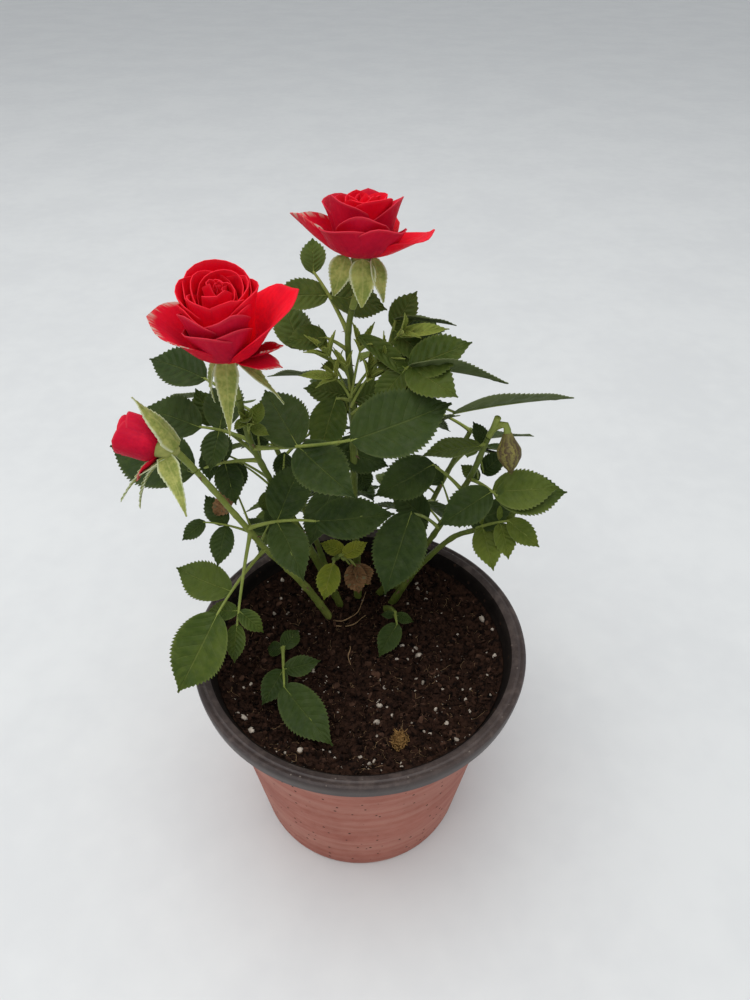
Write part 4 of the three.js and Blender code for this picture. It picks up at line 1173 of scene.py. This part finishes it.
def grow(mass, seed):
    stem, start, end, light, rows = MASSES[mass]
    draw_rule, draw = random_from(seed), np.random.default_rng(100 + seed)
    near = solid_near("leaves_" + mass)
    wood, blades = Piece(), Piece()
    first = stem.fraction_at(start)
    shoot(wood, stem, first, end, (TWIG_RADIUS * 1.1, TWIG_RADIUS * 0.9), 10, 200 + seed)
    length = stem.length * (end - first)
    prickles(wood, stem, first, end, TWIG_RADIUS, round(length / 16), 2.0, 300 + seed, 2)
    laid = 0
    finer = FINER.get(mass, [])
    for i, (row, tint) in enumerate([*zip(rows, TINTS[mass]), *[(row[:8], row[8]) for row in finer]]):
        stalk, leaflets = compound_leaf(stem, row, light, draw_rule)
        in_source = i < len(rows)
        if in_source and near.find_nearest(Vector(stalk.at(0.7)))[3] > CLOSE:
            continue
        line = [stalk.at(t) for t in np.linspace(0, 1, len(STALK_SWELL))]
        slim = 0.75 if in_source and row[6] > 12 else 0.5
        tube(wood, line, STALK_SWELL * slim, 7, 1, draw.random())
        for order, (foot, aim, face, size, curl) in enumerate(leaflets):
            if in_source and near.find_nearest(foot + aim * size * 0.4)[3] > CLOSE:
                continue
            side = aim.cross(face).normalized()
            over = side.cross(aim)
            rib = [foot + aim * size * s - over * (0.25 + curl * size * s * s) for s in (0, 0.15, 0.35, 0.6)]
            tube(wood, rib, [0.5 * slim, 0.42 * slim, 0.3 * slim, 0.12], 5, 1, 0.5)
            colour = tint if isinstance(tint, str) else tint[order]
            under = OLD_UNDER if colour in ("yellow", "brown") else UNDER
            shade, finish_pair = draw.random(), (TINT_ORDER.index(colour), under)
            slender = LEAF_SLENDER * SLIMMER.get(mass, 1) * draw.uniform(0.93, 1.1)
            blade(blades, (foot, aim, face, size, curl), shade, draw, finish_pair, slender=slender,
                  **(DRY_EDGE if colour == "brown" else FRESH_EDGE))
            laid += 1
    if mass == "upper_left":
        young_shoots(wood, blades, draw)
    skin = young_stalk if mass in PALE else green_cane
    wood.make("stalks_" + mass, [skin, young_stalk, prickle_finish], "cane", ["leaves_" + mass], sharp=60)
    blades.make("blades_" + mass, BLADE_FINISHES, "leaf", ["leaves_" + mass], sharp=50)
    return laid


laid = {mass: grow(mass, order + 1) for order, mass in enumerate(MASSES)}
print("leaflets laid:", laid, "in all", sum(laid.values()))

# %% [markdown]
# A petal is a soft sheet. It leaves the axis at its root, turns up into the cup and rolls out at its rim.
# It could be sculpted, but a rule is easier to repeat twenty times with small differences: walk along the
# petal in short steps, turn a little at each, and spread the width round the axis. Ruffles near the rim
# and a shallow point or notch make each one its own.

# %% Blooms: one petal
PETAL_COLUMNS, PETAL_ROWS, PETAL_STEPS, PETAL_THICKNESS = 13, 15, 12, 0.32
RIM_FROM, WIDEST_AT = 0.6, 0.62


def petal_point(petal, across, along, off, phase):
    round_off = petal["round"] * (0.20 * across ** 2 + 0.16 * across ** 6)
    reach = petal["length"] * (1 - round_off + petal["point"] * np.exp(-(across / 0.16) ** 2))
    radius = np.full_like(across, petal["root"], dtype=float)
    height = np.full_like(across, petal["level"], dtype=float)
    for i in range(PETAL_STEPS):
        t = along * (i + 0.5) / PETAL_STEPS
        rim = np.maximum(0, (t - RIM_FROM) / 0.4)
        turned = (petal["open"] + petal["flare"] * np.maximum(0, 1 - t / petal["belly"]) + petal["roll"] * rim
                  + petal["ruffle"] * rim * np.sin(petal["waves"] * across + phase))
        radius = radius + np.sin(np.radians(turned)) * reach * along / PETAL_STEPS
        height = height + np.cos(np.radians(turned)) * reach * along / PETAL_STEPS
    half = petal["width"] / 2 * (0.42 + 0.58 * np.sin(math.pi / 2 * np.minimum(1, along / WIDEST_AT)))
    angle = np.radians(petal["azimuth"]) + half * across / np.maximum(radius, 5)
    cupped = off + petal["cup"] * across ** 2 * along
    radius = radius - cupped * np.cos(np.radians(turned))
    height = height + cupped * np.sin(np.radians(turned))
    return np.stack([radius * np.cos(angle), radius * np.sin(angle), height], -1)


def petal_sheet(piece, petal, place, draw, finish):
    across = np.repeat(np.linspace(-1, 1, PETAL_COLUMNS)[None, :], PETAL_ROWS, 0)
    along = np.repeat(np.linspace(0, 1, PETAL_ROWS)[:, None], PETAL_COLUMNS, 1)
    phase = draw.uniform(0, 2 * math.pi)
    inner = petal_point(petal, across, along, PETAL_THICKNESS / 2, phase)
    outer = petal_point(petal, across, along, -PETAL_THICKNESS / 2, phase)
    points = np.concatenate([inner.reshape(-1, 3), outer.reshape(-1, 3)])
    points = points @ np.array(place.to_3x3()).T + np.array(place.translation)
    places = np.stack([across, along, np.full_like(along, draw.random())], -1).reshape(-1, 3)
    upper, lower, rim = sheet_faces(PETAL_ROWS, PETAL_COLUMNS, flipped=True)
    piece.add(points, upper + lower + rim, finish, np.concatenate([places, places]))


# %% [markdown]
# The cup of a rose is a spiral: each petal leaves the axis a golden angle further round than the last,
# and from the heart outward they grow longer, wider and more open. The guard petals round the cup are
# the ones whose outline is seen, so each of them has a row of its own.

# %% Blooms: the spiral of a cup and the guard petals round it
BELLY = 0.4


def spiral(count, start, lengths, widths, opens, flares, rolls, draw, ruffle):
    petals = []
    for i in range(count):
        s = i / (count - 1)
        length, width, opening, flare, roll = (
            a + (b - a) * s for a, b in (lengths, widths, opens, flares, rolls))
        petals.append({
            "azimuth": start + i * GOLDEN_ANGLE, "root": 0.8 + 2.2 * s, "level": 7.5 - 2.5 * s,
            "length": length * draw.uniform(0.95, 1.03), "width": width,
            "open": opening + draw.normal() * 2, "flare": flare, "roll": roll,
            "ruffle": ruffle * draw.uniform(0.5, 1.4), "waves": draw.uniform(3.5, 6.5),
            "point": draw.choice([-0.04, 0.0, 0.03]), "cup": 0.4, "round": 1.3, "belly": BELLY,
        })
    return petals


def guards(rows, draw, ruffle=16):
    """Each row: azimuth, opening, length, width, roll, point, cup, roundness and perhaps a belly."""
    return [{
        "azimuth": azimuth, "root": 2.6, "level": 5, "length": length, "width": width, "open": opening,
        "flare": max(0, 88 - opening), "roll": roll, "ruffle": ruffle, "waves": draw.uniform(3, 5.5),
        "point": point, "cup": cup, "round": round_share, "belly": belly[0] if belly else BELLY,
    } for azimuth, opening, length, width, roll, point, cup, round_share, *belly in rows]


# %% [markdown]
# A fresh red petal looks like velvet: deep crimson where it turns away, bright scarlet where light falls
# on it or through it, with fine streaks from root to rim and a paler, slightly dry edge. A little sheen
# and subsurface scattering on the shader give the velvet, and a stretched noise draws the streaks. The
# colour is also painted darker at each petal's root, as painted shade in the creases of the cup, and
# brighter toward its rim, as painted light.

# %% Blooms: materials
DRY_PETAL = (0.62, 0.50, 0.40, 1)


def petal_material(name, deep, bright, edge, torn=0.0):
    made, tree, shader = material(
        name, Sheen_Weight=0.10, Sheen_Roughness=0.4, Sheen_Tint=(1, 0.10, 0.16, 1), Specular_IOR_Level=0.10,
        Subsurface_Weight=0.15, Subsurface_Radius=(1.0, 0.05, 0.05), Subsurface_Scale=0.0015)
    across, along, shade = place_on_piece(tree)[:3]
    spot = node(tree, "ShaderNodeCombineXYZ", {0: maths(tree, "MULTIPLY", across, 16.0),
                                               1: maths(tree, "MULTIPLY", along, 2.0),
                                               2: maths(tree, "MULTIPLY", shade, 9.0)}).outputs[0]
    streaks = node(tree, "ShaderNodeTexNoise", {"Vector": spot, "Scale": 1.0, "Detail": 4}).outputs[0]
    colours = use_group(tree, mottle, Coordinates=object_place(tree), Scale=120.0, First=deep, Second=bright)
    # Painted shade and light: each petal is painted darker at its root, in the creases of the cup, and
    # brighter toward its rim.
    painted_light_to_rim = mix(tree, ramp(tree, along, 0.25, 1.0, 0.0, 0.55), colours["Colour"], bright)
    streaked = mix(tree, ramp(tree, streaks, 0.4, 0.75, 0.0, 0.18), painted_light_to_rim, deep)
    rim = ramp(tree, maths(tree, "ADD", along, maths(tree, "MULTIPLY", streaks, 0.03)), 0.95, 1.02, 0.0, 0.55)
    edged = mix(tree, rim, streaked, edge)
    scar = maths(tree, "MULTIPLY", ramp(tree, along, 0.88, 1.0, 0.0, torn),
                 ramp(tree, streaks, 0.47, 0.58), clamp=True)
    scarred = mix(tree, scar, edged, DRY_PETAL)
    height = maths(tree, "ADD", streaks, maths(tree, "MULTIPLY", colours["Grain"], 0.4))
    finish(tree, shader, scarred, height, 0.00018, ramp(tree, streaks, 0.3, 0.7, 0.52, 0.72))
    return made


petal_red = petal_material("scarlet petal", (0.62, 0.001, 0.020, 1), (0.95, 0.002, 0.018, 1),
                           (0.88, 0.030, 0.055, 1))
petal_outer = petal_material("crimson guard petal", (0.44, 0.002, 0.026, 1), (0.66, 0.006, 0.034, 1),
                             (0.70, 0.050, 0.075, 1))
petal_torn = petal_material("torn petal", (0.46, 0.002, 0.022, 1), (0.72, 0.004, 0.026, 1),
                            (0.72, 0.09, 0.09, 1), 0.9)
PETAL_FINISHES = [petal_red, petal_outer, petal_torn]
RED, CRIMSON, TORN = range(len(PETAL_FINISHES))
print("petal finishes:", [made.name for made in PETAL_FINISHES])

# %% [markdown]
# Under each bloom sit five sepals and the swelling that will be the hip. Sepals are pale yellow-green
# with a downy white margin, folded back once the bloom opens. The same blade is used, with a lance
# outline and short fine teeth that stand for the down at its edge.

# %% Blooms: sepals and hip
calyx, tree, shader = material("calyx", Roughness=0.7, Sheen_Weight=0.08, Sheen_Roughness=0.5,
                               Specular_IOR_Level=0.15)
across, along = place_on_piece(tree)[:2]
colours = use_group(tree, mottle, Coordinates=object_place(tree), Scale=160.0,
                    First=(0.200, 0.250, 0.050, 1), Second=(0.420, 0.430, 0.120, 1))
drawn = use_group(tree, veins, Across=across, Along=along, Side_veins=4.0, Width=0.14)
ribbed = mix(tree, maths(tree, "MULTIPLY", drawn["Veins"], 0.35), colours["Colour"], (0.50, 0.49, 0.17, 1))
margin = ramp(tree, maths(tree, "ABSOLUTE", across), 0.74, 1.0, 0.0, 0.85)
downy = mix(tree, margin, ribbed, (0.62, 0.66, 0.42, 1))
finish(tree, shader, downy, maths(tree, "ADD", colours["Grain"], drawn["Swell"]), 0.0003)

# %% Blooms: two outlines of a sepal, and the parts of a calyx
SEPAL_FOOT = (2.4, 5)
HEART = [(0, -1.5), (1.4, -1), (3.2, 1.5), (3.7, 4.5), (3, 6), (3, 9), (0, 10)]
HIP_SIDES = 20


def lance(along):
    along = np.clip(along, 0, 1)
    return 0.5 * np.clip(0.6 + 2.2 * along, 0, 1) * (1 - along ** 1.25) ** 1.1


def ovate(along):
    along = np.clip(along, 0, 1)
    return 0.5 * np.sin(math.pi * along ** 0.72) ** 0.75 * (1 - 0.4 * along)


def lay(piece, part, place):
    """Adds a part made round the +Z axis to a piece, in the bloom's own frame."""
    points = np.concatenate(part.points) @ np.array(place.to_3x3()).T + np.array(place.translation)
    piece.add(points, part.faces, part.finishes, np.concatenate(part.places))


def sepals(piece, rows, place, draw, sepal_foot, outline):
    """Each row: azimuth, rise, length, width, curl and perhaps its own foot and a turn."""
    part = Piece()
    for azimuth, rise, length, width, curl, *own_stance in rows:
        out, level_at, turned = own_stance or (*sepal_foot, 0)
        foot = heading(azimuth, 0) * out + Vector((0, 0, level_at))
        aim = heading(azimuth, rise)
        face = Quaternion(aim, math.radians(turned)) @ heading(azimuth, rise + 90)
        blade(part, (foot, aim, face, length, curl), draw.random(), draw, (0, 0), width / length, outline,
              teeth=13, fold=0.25, tooth=0.022, thickness=0.35, keel=0.4, wave=0.02)
    lay(piece, part, place)


def bloom_frame(curve, axis):
    turned = Vector((0, 0, 1)).rotation_difference(heading(*axis))
    return Matrix.Translation(curve.point(1)) @ turned.to_matrix().to_4x4()


# %% Blooms: putting one together
STALK_RADII, STALK_SIDES = (TWIG_RADIUS, TWIG_RADIUS * 1.15), 10


def bloom(name, curve, start, axis, core, sepal_rows, petals, seed, finishes, sepal_foot=SEPAL_FOOT,
          outline=lance, raised=0.0):
    draw = np.random.default_rng(seed)
    place = bloom_frame(curve, axis) @ Matrix.Translation((0, 0, raised))
    green = Piece()
    shoot(green, curve, start, 1, STALK_RADII, STALK_SIDES, seed, knobs=0, finish=1)
    prickles(green, curve, start, 1, TWIG_RADIUS, 2, 1.4, seed + 1, 1)
    lay(green, turn(Piece(), [(r, z, 0) for r, z in core], HIP_SIDES), place)
    sepals(green, sepal_rows, place, draw, sepal_foot, outline)
    green.make("calyx_" + name, [calyx, young_stalk], "bud", [name], sharp=60)
    red = Piece()
    for petal, finish_of in zip(petals, finishes):
        petal_sheet(red, petal, place, draw, finish_of)
    red.make("petals_" + name, PETAL_FINISHES, "petal", [name], sharp=60)


# %% [markdown]
# The open rose on the left shows its cup from above. Broad guard petals lie to its left and right, the
# left one with a dry edge, and lower ones close its front. Two small torn petals hang at the right.

# %% Rose on the left
draw = np.random.default_rng(21)
left_petals = spiral(9, 40, (21, 25.5), (9, 21), (-12, -7), (34, 54), (2, 8), draw, 14)
left_guards = guards([
    (78, -6, 28, 24, 4, 0, 0.4, 1.1), (132, -5, 27.5, 24, 6, 0, 0.4, 1.1),
    (28, -4, 27, 24, 6, 0.03, 0.4, 1.1), (98, 1, 29.5, 37, 8, 0, 0.5, 1.0),
    (166, 2, 27, 27, 10, 0.02, 0.5, 1.1), (6, 3, 27, 27, 8, 0, 0.5, 1.1),
    (-138, -4, 26, 22, 6, 0, 0.5, 1.5), (-54, -4, 26, 22, 8, 0.03, 0.5, 1.5),
    (-30, 6, 24, 18, 6, 0, 0.6, 1.4), (-150, 8, 23.5, 19, 6, 0, 0.6, 1.4),
    (-64, 9, 24, 23, 6, 0.02, 0.8, 2.0), (-130, 13, 23.4, 24, 4, 0.02, 0.8, 2.0),
    (190, 38, 23.5, 28, 14, 0.05, 1.4, 0.8), (10, 30, 27.5, 27, 18, 0.09, -0.6, 0.9),
    (-62, 21, 20.5, 21, 0, 0, 1.0, 2.1), (-108, 27, 20, 30, -6, 0, 1.2, 2.3),
    (-22, 86, 15, 8, 10, 0.1, 0.5, 0.8), (-8, 74, 15, 5, -30, 0.1, 0.5, 0.8),
], draw, 8)
LONG_HEART = [(0, -3.2), (1.3, -2.9), (1.7, -0.8), *HEART[2:]]
bloom("rose_left", canes["rose"], 0.93, (-90, 81.5), LONG_HEART,
      [(-90, -62, 24, 9, -0.05), (-160, -50, 16, 7, 0.5), (-20, -35, 21, 6, 0.12), (50, -50, 15, 6, -0.05),
       (130, -50, 15, 6, -0.05)],
      left_petals + left_guards, 31,
      [RED] * 19 + [CRIMSON] * 2 + [TORN, RED, CRIMSON, CRIMSON, TORN, TORN], raised=1.8)

# %% [markdown]
# The rose at the top is seen from its side. Its guard petals spread almost level, so their crimson backs
# and the folded sepals show. The sepals are broad there, and take the oval outline.

# %% Rose at the top
draw = np.random.default_rng(22)
top_petals = spiral(15, 10, (15, 21), (10, 26), (-8, 18), (38, 66), (2, 14), draw, 12)
top_guards = guards([(174, 53, 22.5, 18, -14, 0.04, 2.2, 0.9), (-6, 65, 20.5, 22, 0, 0.03, 1.4, 1.0),
                     (-122, 32, 18.5, 25, 16, 0, 0.9, 1.5, 0.7), (-58, 34, 18.5, 25, 16, 0, 0.9, 1.5, 0.7),
                     (80, 46, 19, 26, 16, 0, 0.5, 1.2), (-90, 24, 19, 22, 10, 0, 0.8, 1.6, 0.55)], draw)
bloom("rose_top", canes["centre"], 0.92, (90, 80), HEART,
      [(-92, -80, 14.5, 9.5, -0.1, 3.4, 5, 0), (-160, -68, 13, 9, 0.1, 5.4, 5.6, -50),
       (-40, -72, 14, 7.5, -0.05, 4.0, 5.4, 0),
       (40, -60, 12, 6, -0.05), (120, -60, 12, 6, -0.05)],
      top_petals + top_guards, 41,
      [RED] * 11 + [CRIMSON] * 4 + [TORN, RED, CRIMSON, CRIMSON, RED, CRIMSON], outline=ovate)

# %% [markdown]
# The bud on the left is a barrel of wrapped petals that lies almost level. One long sepal covers it from
# above and four hang from its foot. It is made by the same rules as the roses, with other numbers.

# %% Bud on the left
draw = np.random.default_rng(23)
bud_petals = spiral(9, 30, (13, 15), (20, 28), (0, 6), (76, 88), (-8, -3), draw, 5)
torn_bit = guards([(-164, 56, 11, 6.5, 24, 0.1, 0.3, 0.8)], draw, 4)
bloom("bud_left", canes["left"], 0.91, (170, 15),
      [(0, -1.5), (1.4, -1), (3.2, 1.5), (3.7, 4.5), (4, 6), (4, 12), (0, 13)],
      [(-8, 43, 20, 12, -0.2, 2.4, -0.6, 0), (70, 40, 16, 10, -0.25),
       (-132, -40, 21, 8.5, -0.05, 2.9, 2.4, -70), (-172, 40, 21, 7, 0.45, 2.9, 2.4, -20),
       (-165, 48, 22, 7, 0.35, 2.9, 2.4, -20)],
      bud_petals + torn_bit, 51, [CRIMSON] * 9 + [TORN], (2.9, 2.4))

# %% [markdown]
# The bud on the right has nodded and stays shut: brown-striped sepals close over it, and their dry tips
# stand out at its end. Petals would be hidden inside, so it is one turned body with five low ridges.

# %% Bud on the right: material
shut_bud, tree, shader = material("shut bud", Roughness=0.6)
across, along = place_on_piece(tree)[:2]
colours = use_group(tree, mottle, Coordinates=object_place(tree), Scale=200.0,
                    First=(0.115, 0.092, 0.018, 1), Second=(0.250, 0.215, 0.045, 1))
wander = maths(tree, "MULTIPLY", colours["Grain"], 4.5)
stripes = maths(tree, "PINGPONG", maths(tree, "ADD", maths(tree, "MULTIPLY", across, 9.0), wander), 0.5)
brown_share = maths(tree, "MULTIPLY", ramp(tree, stripes, 0.12, 0.42, 0.0, 0.85), ramp(tree, along, 0.1, 0.4))
browned = mix(tree, brown_share, colours["Colour"], (0.065, 0.032, 0.012, 1))
finish(tree, shader, browned, maths(tree, "ADD", colours["Grain"], stripes), 0.0003)

# %% Bud on the right: its body
SHUT_PROFILE = np.array([(0, -1), (1.4, -0.6), (2.4, 2), (4, 5.5), (3.9, 8.5), (2.2, 12), (0, 14.5)])
BUD_SIDES, BUD_RINGS = 40, 26
levels, marks = np.linspace(0, 1, BUD_RINGS), np.linspace(0, 1, len(SHUT_PROFILE))
radii, heights = (np.interp(levels, marks, column) for column in SHUT_PROFILE.T)
points, places = [], []
for level_at, radius, height in zip(levels, radii, heights):
    for i in range(BUD_SIDES):
        turned = 2 * math.pi * i / BUD_SIDES
        overlap = 1 + 0.09 * abs(math.sin(2.5 * turned + 2.2 * level_at)) * math.sin(math.pi * level_at)
        reach = max(radius * overlap, 0.05)
        points.append((reach * math.cos(turned), reach * math.sin(turned), height))
        places.append((i / BUD_SIDES, level_at, 0.5))
part = Piece()
part.add(points, ring_faces(BUD_RINGS, BUD_SIDES), 0, places)
for i in range(5):
    lean = heading(72 * i, 0)
    wisp = [np.array(lean * (2.6 - 2.3 * s) + Vector((0, 0, 9.5 + 5.5 * s))) for s in (0, 0.3, 0.6, 1)]
    tube(part, wisp, [0.5, 0.45, 0.3, 0.1], 5, 0, 0.5)

# %% Bud on the right: its stalk and the cut stub beside it
STUB_FROM, STUB_LENGTH, STUB_RADII = 0.925, 6.5, [1.1, 1.15, 1.2, 1.05]
shut = Piece()
lay(shut, part, bloom_frame(canes["right"], (-60, -72)))
shoot(shut, canes["right"], 0.905, 1, STALK_RADII, STALK_SIDES, 61, knobs=0, finish=1)
stub_foot, stub_aim = canes["right"].point(STUB_FROM), canes["right"].tangent(0.86)
stub = [stub_foot + stub_aim * STUB_LENGTH * s for s in (0, 0.5, 0.97, 1)]
tube(shut, stub, STUB_RADII, STALK_SIDES, 1, 0.8)
shut.make("shut_bud_right", [shut_bud, young_stalk], "bud", ["bud_right"], sharp=60)
